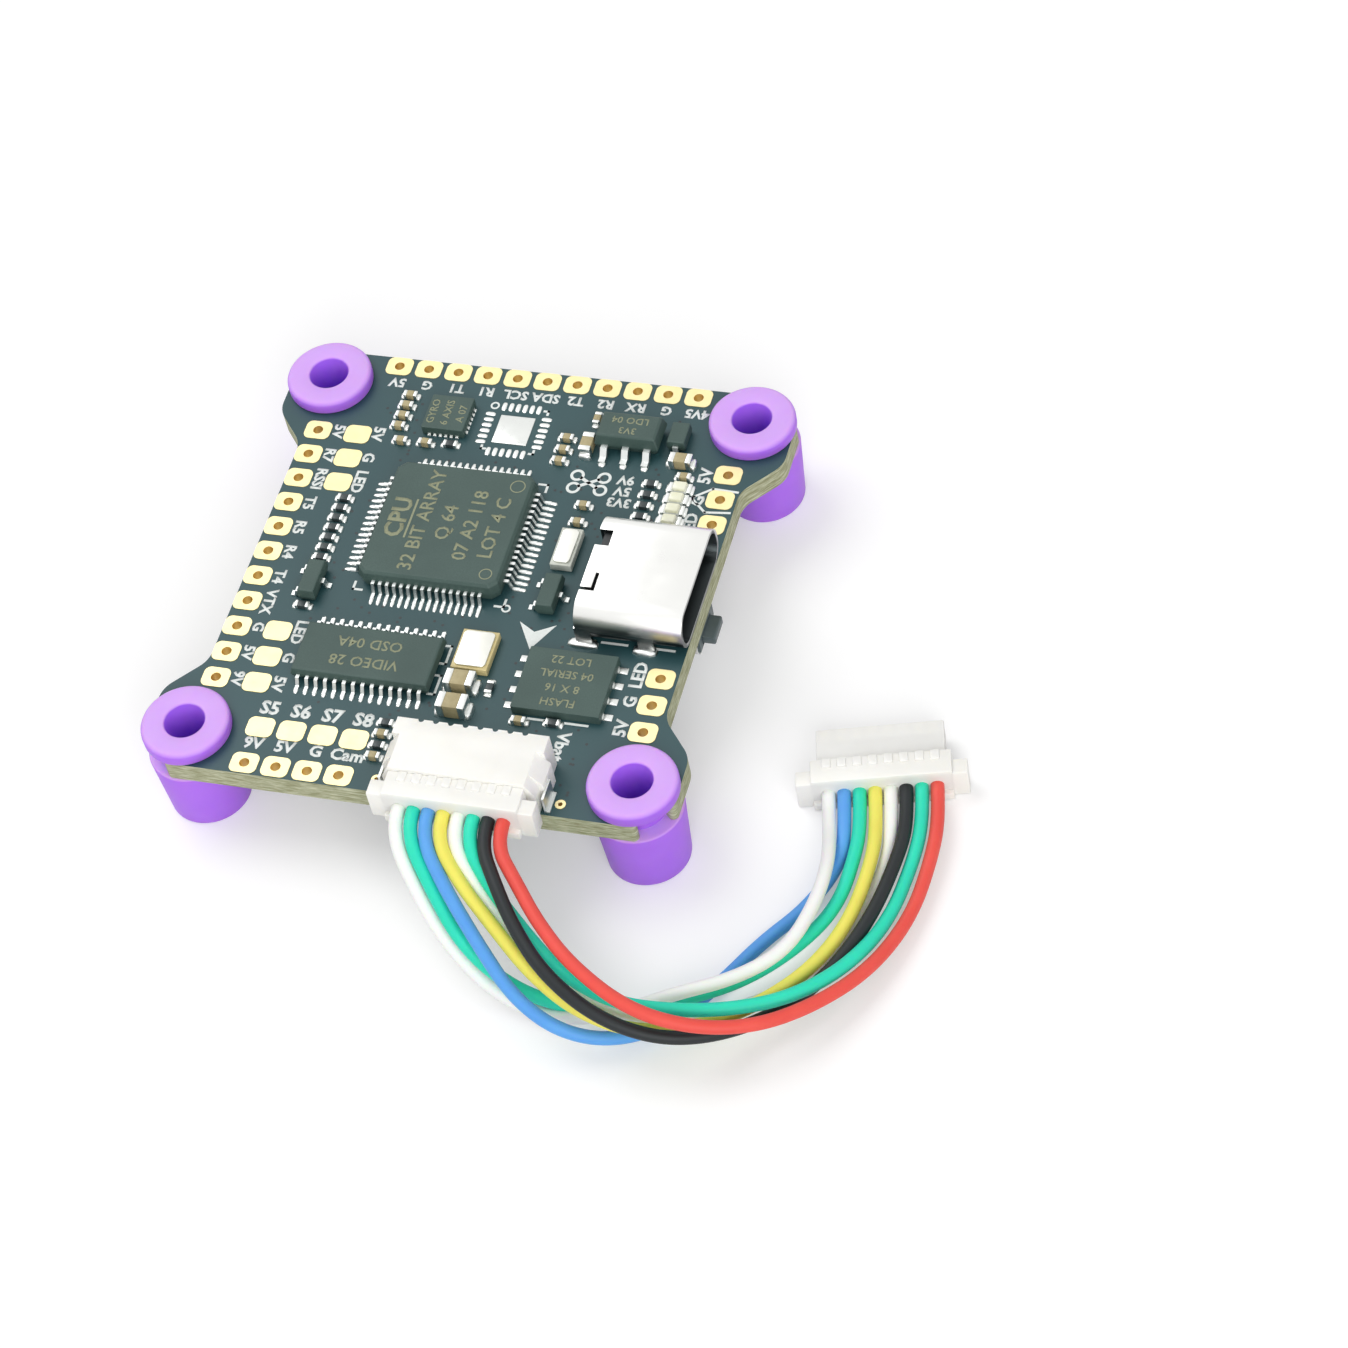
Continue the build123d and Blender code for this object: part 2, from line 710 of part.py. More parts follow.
# ---- Wires ----
# Each route is the wire's place in the near plug, its place in the far plug and
# the points between its two straight ends.
straight_end = 2.55
wire_bend_share = 0.45
wire_routes = {
    "wire_1_white": (0, 0, [
        (2.3, -25.3, 6.8), (4.9, -26.8, 4.3), (8.3, -26.9, 2.3), (12.1, -26.4, 1.0),
        (16.4, -25.7, 0.5), (20.2, -24.9, 0.9), (23.9, -24.1, 2.5), (26.7, -22.8, 2.8),
        (28.1, -19.4, 2.7), (27.5, -15.6, 2.3)]),
    "wire_2_green": (1, 2, [
        (3.4, -25.2, 7.0), (5.9, -27.6, 5.0), (9.2, -28.6, 2.9), (13.0, -28.8, 1.7),
        (17.2, -28.1, 1.4), (21.0, -26.7, 1.4), (24.4, -24.6, 1.5), (27.1, -21.5, 1.5),
        (28.6, -18.1, 1.2), (28.8, -14.3, 1.3)]),
    "wire_3_blue": (2, 1, [
        (4.4, -25.3, 7.5), (7.5, -28.2, 6.0), (10.6, -30.4, 4.3), (13.9, -31.2, 2.7),
        (17.3, -30.4, 1.4), (20.6, -28.4, 0.5), (23.5, -25.6, 0.5), (25.7, -22.5, 0.5),
        (27.1, -18.7, 0.5), (27.9, -14.6, 0.7)]),
    "wire_4_yellow": (3, 3, [
        (5.2, -24.8, 7.5), (8.0, -26.8, 6.3), (11.4, -28.9, 4.9), (15.0, -30.2, 3.7),
        (19.0, -30.4, 2.8), (23.0, -28.9, 2.4), (26.1, -26.2, 2.0), (28.4, -22.9, 1.6),
        (29.7, -19.0, 1.4), (30.0, -14.3, 1.5)]),
    "wire_5_white": (4, 4, [
        (6.2, -24.6, 6.8), (9.1, -26.6, 4.9), (12.6, -28.3, 4.2), (16.6, -29.3, 3.1),
        (20.4, -28.9, 2.2), (23.3, -27.4, 1.5), (26.2, -25.0, 0.6), (28.8, -21.9, 0.5),
        (30.2, -18.0, 0.5), (30.8, -13.9, 0.7)]),
    "wire_6_green": (5, 6, [
        (7.1, -24.6, 7.2), (9.9, -26.7, 6.2), (13.2, -28.7, 5.4), (17.2, -29.7, 4.6),
        (20.8, -29.2, 4.0), (24.4, -28.2, 3.5), (27.7, -26.3, 2.8), (30.4, -23.2, 2.2),
        (32.0, -18.9, 1.2), (32.5, -14.0, 1.1)]),
    "wire_7_black": (6, 5, [
        (7.8, -25.0, 8.3), (9.7, -27.3, 7.5), (12.6, -29.6, 6.5), (16.4, -31.1, 5.1),
        (20.3, -31.2, 3.8), (23.6, -29.9, 2.8), (26.7, -27.2, 1.8), (29.2, -23.7, 1.5),
        (31.0, -19.1, 1.7), (31.6, -14.0, 1.6)]),
    "wire_8_red": (7, 7, [
        (9.1, -24.7, 8.2), (11.3, -27.0, 7.7), (14.4, -29.1, 7.0), (18.6, -30.7, 5.8),
        (22.6, -30.6, 4.7), (26.2, -29.3, 3.7), (29.2, -26.5, 2.6), (31.8, -22.7, 1.6),
        (33.3, -18.1, 1.0), (33.6, -13.6, 1.2)]),
}


def wire(near, far, middle):
    """Round wire from one plug to the other: straight runs joined by tangent arcs."""
    turn = math.radians(far_plug_turn)
    along = contact_offsets[far]
    exit_point = Vector(socket_x + contact_offsets[near], mouth_y - plug_exposed + plug_lip, wire_z)
    entry = Vector(far_plug_x + along * math.cos(turn) - plug_lip * math.sin(turn),
                   far_plug_y + along * math.sin(turn) + plug_lip * math.cos(turn), far_wire_z)
    outward = Vector(0, -1, 0)
    entry_outward = Vector(math.sin(turn), -math.cos(turn), 0)
    route = [exit_point, exit_point + outward * straight_end] + [Vector(*point) for point in middle]
    route += [entry + entry_outward * straight_end, entry]
    radii = []
    for before, corner, after in zip(route, route[1:], route[2:]):
        run_in = corner - before
        run_out = after - corner
        bend = math.radians(run_in.get_angle(run_out))
        radii.append(wire_bend_share * min(run_in.length, run_out.length) / math.tan(bend / 2))
    path = FilletPolyline(*route, radius=radii)
    section = Plane(origin=exit_point, z_dir=outward) * Circle(wire_diameter / 2)
    tube = sweep(section, path=path)
    share = tube.volume / (section.area * path.length)
    print(f"length {path.length:.1f} mm, volume share {share:.4f}, radii", [round(r, 1) for r in radii])
    return tube


def main():
    """Write every node of the board."""
    os.makedirs("parts", exist_ok=True)
    save("circuit_board", circuit_board())
    for front, sy in (("front", -1), ("rear", 1)):
        for side, sx in (("left", -1), ("right", 1)):
            save(f"grommet_{front}_{side}", grommet(sx * bolt_edge, sy * bolt_edge))
    save("edge_pads", plated_pads())
    save("surface_pads", surface_pads())
    pairs = {
        "processor": (processor_parts(), "leads"),
        "gyro": (gyro_parts(), "terminals"),
        "video_chip": (video_chip_parts(), "leads"),
        "flash_chip": (flash_chip_parts(), "terminals"),
        "regulator": (regulator_parts(), "leads"),
        "transistor": (transistors(), "leads"),
        "diode": (diode_parts(), "leads"),
        "converter": (converters(), "leads"),
        "small_capacitor": (two_ended(small_capacitor_size, small_capacitor_places), "ends"),
        "bulk_capacitor": (bulk_capacitors(), "ends"),
        "resistor": (two_ended(resistor_size, resistor_places), "ends"),
        "status_led": (two_ended(status_led_size, status_led_places), "ends"),
    }
    for name, ((bodies, metal), word) in pairs.items():
        save(f"{name}_body", bodies)
        save(f"{name}_{word}", metal)
    save("status_led_lenses", status_lenses())
    for name, (tub, lid) in crystals().items():
        save(f"{name}_tub", tub)
        save(f"{name}_lid", lid)
    save("power_inductors", inductors())
    save("usb_shell", usb_shell())
    save("usb_insulator", usb_insulator())
    save("usb_contacts", usb_contacts())
    save("socket_housing", socket_housing())
    save("socket_contacts", socket_contacts())
    save("socket_tabs", socket_tabs())
    save("plug_housing", fitted(plug_housing()))
    save("plug_terminals", [fitted(piece) for piece in plug_terminals()])
    save("far_plug_housing", laid_down(plug_housing()))
    save("far_plug_terminals", [laid_down(piece) for piece in plug_terminals()])
    for node, (near, far, middle) in wire_routes.items():
        save(node, wire(near, far, middle))
    base, cover, plunger, dome = boot_button()
    save("boot_button_base", base)
    save("boot_button_cover", cover)
    save("boot_button_plunger", plunger)
    save("boot_button_dome", dome)


main()
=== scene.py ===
import json
import math

import bmesh
import bpy
import numpy as np
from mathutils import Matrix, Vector


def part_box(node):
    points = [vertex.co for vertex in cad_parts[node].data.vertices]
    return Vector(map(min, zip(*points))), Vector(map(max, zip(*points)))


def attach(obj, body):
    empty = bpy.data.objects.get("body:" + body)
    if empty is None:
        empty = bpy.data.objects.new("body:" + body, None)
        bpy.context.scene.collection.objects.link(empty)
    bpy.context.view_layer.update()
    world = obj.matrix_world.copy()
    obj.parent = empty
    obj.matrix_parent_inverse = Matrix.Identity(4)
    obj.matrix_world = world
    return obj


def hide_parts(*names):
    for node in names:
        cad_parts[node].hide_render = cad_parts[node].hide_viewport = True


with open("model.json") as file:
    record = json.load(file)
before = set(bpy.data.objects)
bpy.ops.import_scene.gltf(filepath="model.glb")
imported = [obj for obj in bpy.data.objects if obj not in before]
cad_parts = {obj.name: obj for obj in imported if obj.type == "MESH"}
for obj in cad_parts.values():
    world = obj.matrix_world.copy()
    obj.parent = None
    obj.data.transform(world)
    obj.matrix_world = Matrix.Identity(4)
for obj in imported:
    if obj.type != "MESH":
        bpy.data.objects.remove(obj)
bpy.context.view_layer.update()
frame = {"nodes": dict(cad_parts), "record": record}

# The flight controller board: soft goods first (eight wires), then the laminate,
# its chips, passives, solder, ink, connectors and grommets. Shapes are worked out
# in millimetres and made metres in one place.
MM = 0.001

# ---- What the frame says ----
BODY_OF = {node: body for body, nodes in frame["record"]["behaviour"]["bodies"].items() for node in nodes}


def box_of(node):
    """Lowest and highest corner of a CAD node, in millimetres."""
    low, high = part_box(node)
    return np.array(low) / MM, np.array(high) / MM


BOARD_TOP = box_of("circuit_board")[1][2]
BOARD_BOTTOM = box_of("circuit_board")[0][2]


# ---- Camera ----
def studio_camera():
    """A long lens, looking down on the front of the board from a little to its right."""
    data = bpy.data.cameras.new("camera")
    data.sensor_width = 36.0
    data.lens = 104.39
    data.clip_start = 0.01
    camera = bpy.data.objects.new("camera", data)
    camera.location = (0.08307, -0.14821, 0.20281)
    camera.rotation_euler = [math.radians(angle) for angle in (38.0494, 8.2054, 15.1163)]
    bpy.context.scene.collection.objects.link(camera)
    bpy.context.scene.camera = camera


studio_camera()


# ---- Colour and node helpers ----
def linear(code):
    """Linear RGBA of an sRGB hex colour: each channel under 0.04045 is divided by 12.92, and the
    rest is raised to 2.4 after 0.055 is added and 1.055 divided out."""
    channels = [int(code[i:i + 2], 16) / 255 for i in (1, 3, 5)]
    return [c / 12.92 if c < 0.04045 else ((c + 0.055) / 1.055) ** 2.4 for c in channels] + [1.0]


def add(tree, kind, settings=None, inputs=None):
    """One shader node, with its settings by name and its inputs as values or as sockets to link."""
    node = tree.nodes.new("ShaderNode" + kind)
    for key, value in (settings or {}).items():
        setattr(node, key, value)
    for key, value in (inputs or {}).items():
        if isinstance(value, bpy.types.NodeSocket):
            tree.links.new(value, node.inputs[key])
        else:
            node.inputs[key].default_value = value
    return node


def blank(name):
    """A new material, its emptied node tree, and the place on the object as a socket."""
    material = bpy.data.materials.new(name)
    material.use_nodes = True
    tree = material.node_tree
    tree.nodes.clear()
    return material, tree, add(tree, "TexCoord").outputs["Object"]


def close(tree, shader):
    """Links a surface to the material's output."""
    output = add(tree, "OutputMaterial")
    tree.links.new(shader.outputs[0], output.inputs["Surface"])


def between(tree, share, first, second):
    """The colour a share of the way from the first to the second, each a hex code or a socket."""
    ends = [linear(end) if isinstance(end, str) else end for end in (first, second)]
    mixed = add(tree, "Mix", {"data_type": "RGBA"}, {"Factor": share, "A": ends[0], "B": ends[1]})
    return mixed.outputs[2]


def per_mm(size_mm):
    """Noise scale, in metres, for features of that size in millimetres."""
    return 1.0 / (size_mm * MM)


# ---- Materials ----
def solder_mask():
    """Black epoxy solder mask, screened and cured on FR4 laminate: satin, with a faint orange peel.
    Where the board is cut, its glass weave shows as pale olive streaks along the edge."""
    material, tree, place = blank("epoxy_solder_mask_on_fr4")
    cloud = add(tree, "TexNoise", inputs={"Vector": place, "Scale": per_mm(9.0), "Detail": 3.0})
    mask = between(tree, cloud.outputs["Fac"], "#204347", "#2a4e52")
    stretch = add(tree, "Mapping", inputs={"Vector": place, "Scale": (1.0, 1.0, 9.0)})
    fibre = add(tree, "TexNoise", inputs={"Vector": stretch.outputs[0], "Scale": per_mm(1.3), "Detail": 5.0,
                                          "Roughness": 0.65})
    streak = add(tree, "MapRange", inputs={"Value": fibre.outputs["Fac"], "From Min": 0.38, "From Max": 0.66})
    glass = between(tree, streak.outputs[0], "#8b8c68", "#c9cbae")
    normal = add(tree, "SeparateXYZ", inputs={"Vector": add(tree, "NewGeometry").outputs["Normal"]})
    upright = add(tree, "Math", {"operation": "ABSOLUTE"}, {0: normal.outputs["Z"]})
    face = add(tree, "Math", {"operation": "GREATER_THAN"}, {0: upright.outputs[0], 1: 0.5})
    colour = between(tree, face.outputs[0], glass, mask)
    rough = add(tree, "MapRange", inputs={"Value": face.outputs[0], "To Min": 0.85, "To Max": 0.42})
    peel = add(tree, "TexNoise", inputs={"Vector": place, "Scale": per_mm(0.22), "Detail": 2.0})
    bump = add(tree, "Bump", inputs={"Strength": 0.12, "Distance": 0.02 * MM, "Height": peel.outputs["Fac"]})
    close(tree, add(tree, "BsdfPrincipled", inputs={
        "Base Color": colour, "Roughness": rough.outputs[0], "Normal": bump.outputs[0]}))
    return material


def silicone(name, pale, deep, grain_mm=0.35, sink=0.25, painted_top_highlight=None):
    """Compression-moulded silicone rubber: soft sheen, light that sinks in a little, and where it is
    asked for, a painted highlight: the faces that look up are coloured paler."""
    material, tree, place = blank(name)
    cloud = add(tree, "TexNoise", inputs={"Vector": place, "Scale": per_mm(2.6), "Detail": 4.0})
    colour = between(tree, cloud.outputs["Fac"], pale, deep)
    # Painted highlight: faces that look up are mixed towards a paler colour.
    if painted_top_highlight:
        normal = add(tree, "SeparateXYZ", inputs={"Vector": add(tree, "NewGeometry").outputs["Normal"]})
        upward = add(tree, "MapRange", inputs={
            "Value": normal.outputs["Z"], "From Min": 0.2, "From Max": 0.95})
        colour = between(tree, upward.outputs[0], colour, painted_top_highlight)
    grain = add(tree, "TexNoise", inputs={"Vector": place, "Scale": per_mm(grain_mm), "Detail": 2.0})
    bump = add(tree, "Bump", inputs={"Strength": 0.15, "Distance": 0.02 * MM, "Height": grain.outputs["Fac"]})
    close(tree, add(tree, "BsdfPrincipled", inputs={
        "Base Color": colour, "Roughness": 0.5, "Subsurface Weight": sink,
        "Subsurface Radius": (0.8, 0.25, 1.4), "Subsurface Scale": 0.6 * MM, "IOR": 1.41,
        "Normal": bump.outputs[0]}))
    return material


def gold_flash():
    """Immersion gold over nickel on copper: pale and satin on the pads; the upright barrel walls are coloured
    a brighter, warmer gold as painted light for the insides of the holes.
    """
    material, tree, place = blank("immersion_gold_over_nickel")
    cloud = add(tree, "TexNoise", inputs={"Vector": place, "Scale": per_mm(0.8), "Detail": 4.0})
    flat = between(tree, cloud.outputs["Fac"], "#e8d69c", "#f2e4b4")
    normal = add(tree, "SeparateXYZ", inputs={"Vector": add(tree, "NewGeometry").outputs["Normal"]})
    upright = add(tree, "Math", {"operation": "ABSOLUTE"}, {0: normal.outputs["Z"]})
    face = add(tree, "Math", {"operation": "GREATER_THAN"}, {0: upright.outputs[0], 1: 0.5})
    # Painted light: upright faces, the insides of the barrels, are given a brighter, warmer gold.
    colour = between(tree, face.outputs[0], "#fde6ac", flat)
    bump = add(tree, "Bump", inputs={"Strength": 0.2, "Distance": 0.01 * MM, "Height": cloud.outputs["Fac"]})
    close(tree, add(tree, "BsdfPrincipled", inputs={
        "Base Color": colour, "Metallic": 1.0, "Roughness": 0.38, "Normal": bump.outputs[0]}))
    return material


def moulded_epoxy(name="moulded_epoxy_chip_package", dark="#374c47", light="#445a54"):
    """Silica-filled epoxy moulding compound: matte charcoal with a fine spark-eroded grain."""
    material, tree, place = blank(name)
    grit = add(tree, "TexNoise", inputs={"Vector": place, "Scale": per_mm(0.09), "Detail": 3.0})
    cloud = add(tree, "TexNoise", inputs={"Vector": place, "Scale": per_mm(3.5), "Detail": 2.0})
    both = add(tree, "Math", {"operation": "MULTIPLY"}, {0: grit.outputs["Fac"], 1: cloud.outputs["Fac"]})
    spread = add(tree, "MapRange", inputs={"Value": both.outputs[0], "From Min": 0.1, "From Max": 0.45})
    colour = between(tree, spread.outputs[0], dark, light)
    bump = add(tree, "Bump", inputs={"Strength": 0.35, "Distance": 0.012 * MM, "Height": grit.outputs["Fac"]})
    close(tree, add(tree, "BsdfPrincipled", inputs={
        "Base Color": colour, "Roughness": 0.55, "Normal": bump.outputs[0]}))
    return material


def tin(name="reflowed_tin_solder", shade="#e9ebe8", roughness=0.3):
    """Tin plating and reflowed solder: bright, a little frosted, with soft ripples."""
    material, tree, place = blank(name)
    ripple = add(tree, "TexNoise", inputs={"Vector": place, "Scale": per_mm(0.35), "Detail": 3.0})
    rough = add(tree, "MapRange", inputs={"Value": ripple.outputs["Fac"], "To Min": roughness - 0.1,
                                          "To Max": roughness + 0.12})
    bump = add(tree, "Bump", inputs={"Strength": 0.3, "Distance": 0.02 * MM, "Height": ripple.outputs["Fac"]})
    close(tree, add(tree, "BsdfPrincipled", inputs={
        "Base Color": linear(shade), "Metallic": 1.0, "Roughness": rough.outputs[0],
        "Normal": bump.outputs[0]}))
    return material


def fired_ceramic(name, dark, light, roughness=0.5):
    """Fired and tumbled ceramic: fine mottling under a dull sheen."""
    material, tree, place = blank(name)
    mottle = add(tree, "TexNoise", inputs={"Vector": place, "Scale": per_mm(0.3), "Detail": 4.0})
    colour = between(tree, mottle.outputs["Fac"], dark, light)
    bump = add(tree, "Bump", inputs={"Strength": 0.2, "Distance": 0.01 * MM, "Height": mottle.outputs["Fac"]})
    close(tree, add(tree, "BsdfPrincipled", inputs={
        "Base Color": colour, "Roughness": roughness, "Normal": bump.outputs[0]}))
    return material


def clear_resin():
    """Cast silicone resin over a phosphor: pale yellow, glossy, slightly milky."""
    material, tree, place = blank("cast_phosphor_resin")
    cloud = add(tree, "TexNoise", inputs={"Vector": place, "Scale": per_mm(0.7), "Detail": 2.0})
    colour = between(tree, cloud.outputs["Fac"], "#f4f4cc", "#fdfdee")
    close(tree, add(tree, "BsdfPrincipled", inputs={
        "Base Color": colour, "Roughness": 0.18, "IOR": 1.5, "Coat Weight": 0.4}))
    return material


def stamped_steel(name="nickel_plated_stamped_steel", middle=None):
    """Nickel-plated stamped steel: bright, with rolling lines along the sheet and light handling wear.
    A shell rolled round the line through `middle` along X carries painted shade: faces inside it and along
    its lower curl are coloured dark."""
    material, tree, place = blank(name)
    along = add(tree, "Mapping", inputs={"Vector": place, "Scale": (1.0, 14.0, 14.0)})
    lines = add(tree, "TexNoise", inputs={"Vector": along.outputs[0], "Scale": per_mm(2.2), "Detail": 4.0})
    smear = add(tree, "TexNoise", inputs={"Vector": place, "Scale": per_mm(2.0), "Detail": 3.0})
    rough = add(tree, "MapRange", inputs={"Value": smear.outputs["Fac"], "To Min": 0.2, "To Max": 0.42})
    bump = add(tree, "Bump", inputs={"Strength": 0.08, "Distance": 0.01 * MM, "Height": lines.outputs["Fac"]})
    colour = linear("#f1f1ee")
    # Painted shade: faces inside the shell, or turned down under its curl, are mixed towards dark steel.
    if middle:
        normal = add(tree, "NewGeometry").outputs["Normal"]
        reach = add(tree, "VectorMath", {"operation": "SUBTRACT"}, {0: place, 1: middle})
        reach = add(tree, "VectorMath", {"operation": "MULTIPLY"}, {0: reach.outputs[0], 1: (0, 1, 1)})
        facing = add(tree, "VectorMath", {"operation": "DOT_PRODUCT"}, {0: reach.outputs[0], 1: normal})
        outside = add(tree, "MapRange", inputs={
            "Value": facing.outputs["Value"], "From Min": -0.4 * MM, "From Max": 0.1 * MM})
        height = add(tree, "SeparateXYZ", inputs={"Vector": normal})
        upper = add(tree, "MapRange", inputs={
            "Value": height.outputs["Z"], "From Min": -0.15, "From Max": 0.35})
        bright = add(tree, "Math", {"operation": "MULTIPLY"}, {0: outside.outputs[0], 1: upper.outputs[0]})
        colour = between(tree, bright.outputs[0], "#3a3f40", "#f1f1ee")
    close(tree, add(tree, "BsdfPrincipled", inputs={
        "Base Color": colour, "Metallic": 1.0, "Roughness": rough.outputs[0],
        "Normal": bump.outputs[0]}))
    return material


def nylon(name="natural_glass_filled_nylon", pale="#fbfaf5", deep="#f3f1ea"):
    """Injection-moulded nylon: slightly translucent, with faint flow lines from the gate."""
    material, tree, place = blank(name)
    flow = add(tree, "TexNoise", inputs={"Vector": place, "Scale": per_mm(2.8), "Detail": 3.0,
                                         "Distortion": 0.6})
    colour = between(tree, flow.outputs["Fac"], deep, pale)
    grain = add(tree, "TexNoise", inputs={"Vector": place, "Scale": per_mm(0.15), "Detail": 2.0})
    bump = add(tree, "Bump", inputs={"Strength": 0.1, "Distance": 0.01 * MM, "Height": grain.outputs["Fac"]})
    close(tree, add(tree, "BsdfPrincipled", inputs={
        "Base Color": colour, "Roughness": 0.42, "Subsurface Weight": 0.2,
        "Subsurface Radius": (1.0, 0.9, 0.7), "Subsurface Scale": 0.3 * MM, "Normal": bump.outputs[0]}))
    return material


def gold_contact():
    """Hard gold plating on spring bronze: warm and fairly glossy."""
    material, tree, place = blank("hard_gold_on_bronze")
    wear = add(tree, "TexNoise", inputs={"Vector": place, "Scale": per_mm(0.4), "Detail": 3.0})
    colour = between(tree, wear.outputs["Fac"], "#d9ab52", "#f0cf86")
    close(tree, add(tree, "BsdfPrincipled", inputs={
        "Base Color": colour, "Metallic": 1.0, "Roughness": 0.28}))
    return material


def screen_ink():
    """White epoxy legend ink, screened: matte, its edges slightly uneven."""
    material, tree, place = blank("white_legend_ink")
    thin = add(tree, "TexNoise", inputs={"Vector": place, "Scale": per_mm(0.16), "Detail": 3.0})
    colour = between(tree, thin.outputs["Fac"], "#dfe6e2", "#f7faf8")
    close(tree, add(tree, "BsdfPrincipled", inputs={"Base Color": colour, "Roughness": 0.6}))
    return material


def laser_mark():
    """Laser-bleached moulding compound: a dull tan tint, with no thickness to speak of."""
    material, tree, place = blank("laser_bleached_epoxy")
    uneven = add(tree, "TexNoise", inputs={"Vector": place, "Scale": per_mm(0.12), "Detail": 2.0})
    colour = between(tree, uneven.outputs["Fac"], "#7e8268", "#a3a788")
    close(tree, add(tree, "BsdfPrincipled", inputs={"Base Color": colour, "Roughness": 0.7}))
    return material


def tented_hole():
    """Solder mask sunk over a drilled via: a small dark dimple."""
    material, tree, place = blank("tented_via_mask")
    cloud = add(tree, "TexNoise", inputs={"Vector": place, "Scale": per_mm(0.2), "Detail": 2.0})
    colour = between(tree, cloud.outputs["Fac"], "#20292c", "#2e3a3d")
    close(tree, add(tree, "BsdfPrincipled", inputs={"Base Color": colour, "Roughness": 0.35}))
    return material


MASK = solder_mask()
# The grommets' upward faces carry a painted highlight.
PURPLE = silicone("purple_silicone_rubber", "#b877f6", "#ad6cec", sink=0.5, painted_top_highlight="#d8abf8")
GOLD = gold_flash()
EPOXY = moulded_epoxy()
TIN = tin()
PLATE = tin("tin_plated_copper_alloy", "#dfe2e0", 0.34)
TAN_CERAMIC = fired_ceramic("barium_titanate_ceramic", "#a3946c", "#c2b68d")
BLACK_GLAZE = fired_ceramic("glazed_resistor_film", "#2c3536", "#3d4849", 0.35)
WHITE_CERAMIC = fired_ceramic("white_led_moulding", "#e8ece8", "#f8faf6", 0.4)
TUB_CERAMIC = fired_ceramic("gilded_crystal_ceramic", "#c9b679", "#e3d5a2", 0.4)
PALE_CERAMIC = fired_ceramic("pale_crystal_ceramic", "#c4c8bd", "#dde0d6", 0.4)
LID = tin("rolled_kovar_lid", "#eeeee6", 0.36)
RESIN = clear_resin()
STEEL = stamped_steel()
HALF_SHELL_HEIGHT = 1.58
SHELL_MIDDLE = (0, 0, float(box_of("usb_shell")[1][2] - HALF_SHELL_HEIGHT) * MM)
ROLLED_STEEL = stamped_steel("nickel_plated_rolled_steel", SHELL_MIDDLE)
BLACK_LCP = nylon("black_liquid_crystal_polymer", "#23282a", "#191d1f")
DARK_NYLON = nylon("dark_grey_switch_nylon", "#596668", "#4a5658")
NYLON = nylon()
CONTACT_GOLD = gold_contact()
FERRITE = fired_ceramic("pressed_iron_powder", "#4b4f50", "#626768", 0.6)
INK = screen_ink()
LASER = laser_mark()
TENT = tented_hole()


# ---- Mesh helpers ----
def make(name, points_mm, faces, material, body, smooth=35.0):
    """A piece from points in millimetres and lists of corners, smooth across edges under an angle."""
    mesh = bpy.data.meshes.new(name)
    mesh.from_pydata((np.asarray(points_mm) * MM).tolist(), [], [list(map(int, face)) for face in faces])
    mesh.materials.append(material)
    mesh.shade_smooth()
    mesh.set_sharp_from_angle(angle=math.radians(smooth))
    mesh.validate()
    return seat(bpy.data.objects.new(name, mesh), body)


def seat(piece, body):
    """Links a piece and makes it ride on its body."""
    if piece.name not in bpy.context.scene.collection.objects:
        bpy.context.scene.collection.objects.link(piece)
    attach(piece, body)
    return piece


def many(shape, placed):
    """The same shape at many places: placed is an array of point sets, and the faces are counted on."""
    points, faces = shape
    size = len(points)
    all_faces = [[corner + i * size for corner in face] for i in range(len(placed)) for face in faces]
    return np.concatenate(placed), all_faces


def join(shapes):
    """One list of points and faces from several."""
    points, faces, count = [], [], 0
    for shape_points, shape_faces in shapes:
        points.append(shape_points)
        faces += [[corner + count for corner in face] for face in shape_faces]
        count += len(shape_points)
    return np.concatenate(points), faces


def tidy(piece):
    """Joins corners that share a place and turns every face outwards."""
    form = bmesh.new()
    form.from_mesh(piece.data)
    bmesh.ops.remove_doubles(form, verts=form.verts, dist=1e-8)
    bmesh.ops.recalc_face_normals(form, faces=form.faces)
    form.to_mesh(piece.data)
    form.free()


def grid_faces(rows, columns):
    """Quads between neighbouring rows of a grid whose columns run round a closed loop."""
    return [[r * columns + c, r * columns + (c + 1) % columns,
             (r + 1) * columns + (c + 1) % columns, (r + 1) * columns + c]
            for r in range(rows - 1) for c in range(columns)]


def wrapped_faces(rows, columns):
    """Quads of a grid that closes on itself both ways."""
    return [[r * columns + c, r * columns + (c + 1) % columns,
             (r + 1) % rows * columns + (c + 1) % columns, (r + 1) % rows * columns + c]
            for r in range(rows) for c in range(columns)]


def solids_of(node):
    """Low and high corners, in millimetres, of each separate solid in a CAD node: corners that share a
    place are one, and every corner takes the lowest number that its triangles pass on."""
    mesh = frame["nodes"][node].data
    points = np.zeros(len(mesh.vertices) * 3)
    mesh.vertices.foreach_get("co", points)
    points = points.reshape(-1, 3) / MM
    spots, same = np.unique(np.round(points, 4), axis=0, return_inverse=True)
    same = same.reshape(-1)
    corners = np.zeros(len(mesh.polygons) * 3, int)
    mesh.polygons.foreach_get("vertices", corners)
    corners = same[corners].reshape(-1, 3)
    label = np.arange(len(spots))
    while True:
        lowest = label[corners].min(axis=1)
        updated = label.copy()
        for k in range(3):
            np.minimum.at(updated, corners[:, k], lowest)
        updated = updated[updated]
        if np.array_equal(updated, label):
            break
        label = updated
    boxes = []
    for number in np.unique(label):
        mine = spots[label == number]
        boxes.append((mine.min(axis=0), mine.max(axis=0)))
    return boxes


def round_edges(piece, width_mm, over_degrees):
    """Rounds the edges where a piece turns by more than an angle, and gives the modifier back."""
    rounding = piece.modifiers.new("rounded_edges", "BEVEL")
    rounding.width = width_mm * MM
    rounding.segments = 2
    rounding.limit_method = "ANGLE"
    rounding.angle_limit = math.radians(over_degrees)
    return rounding


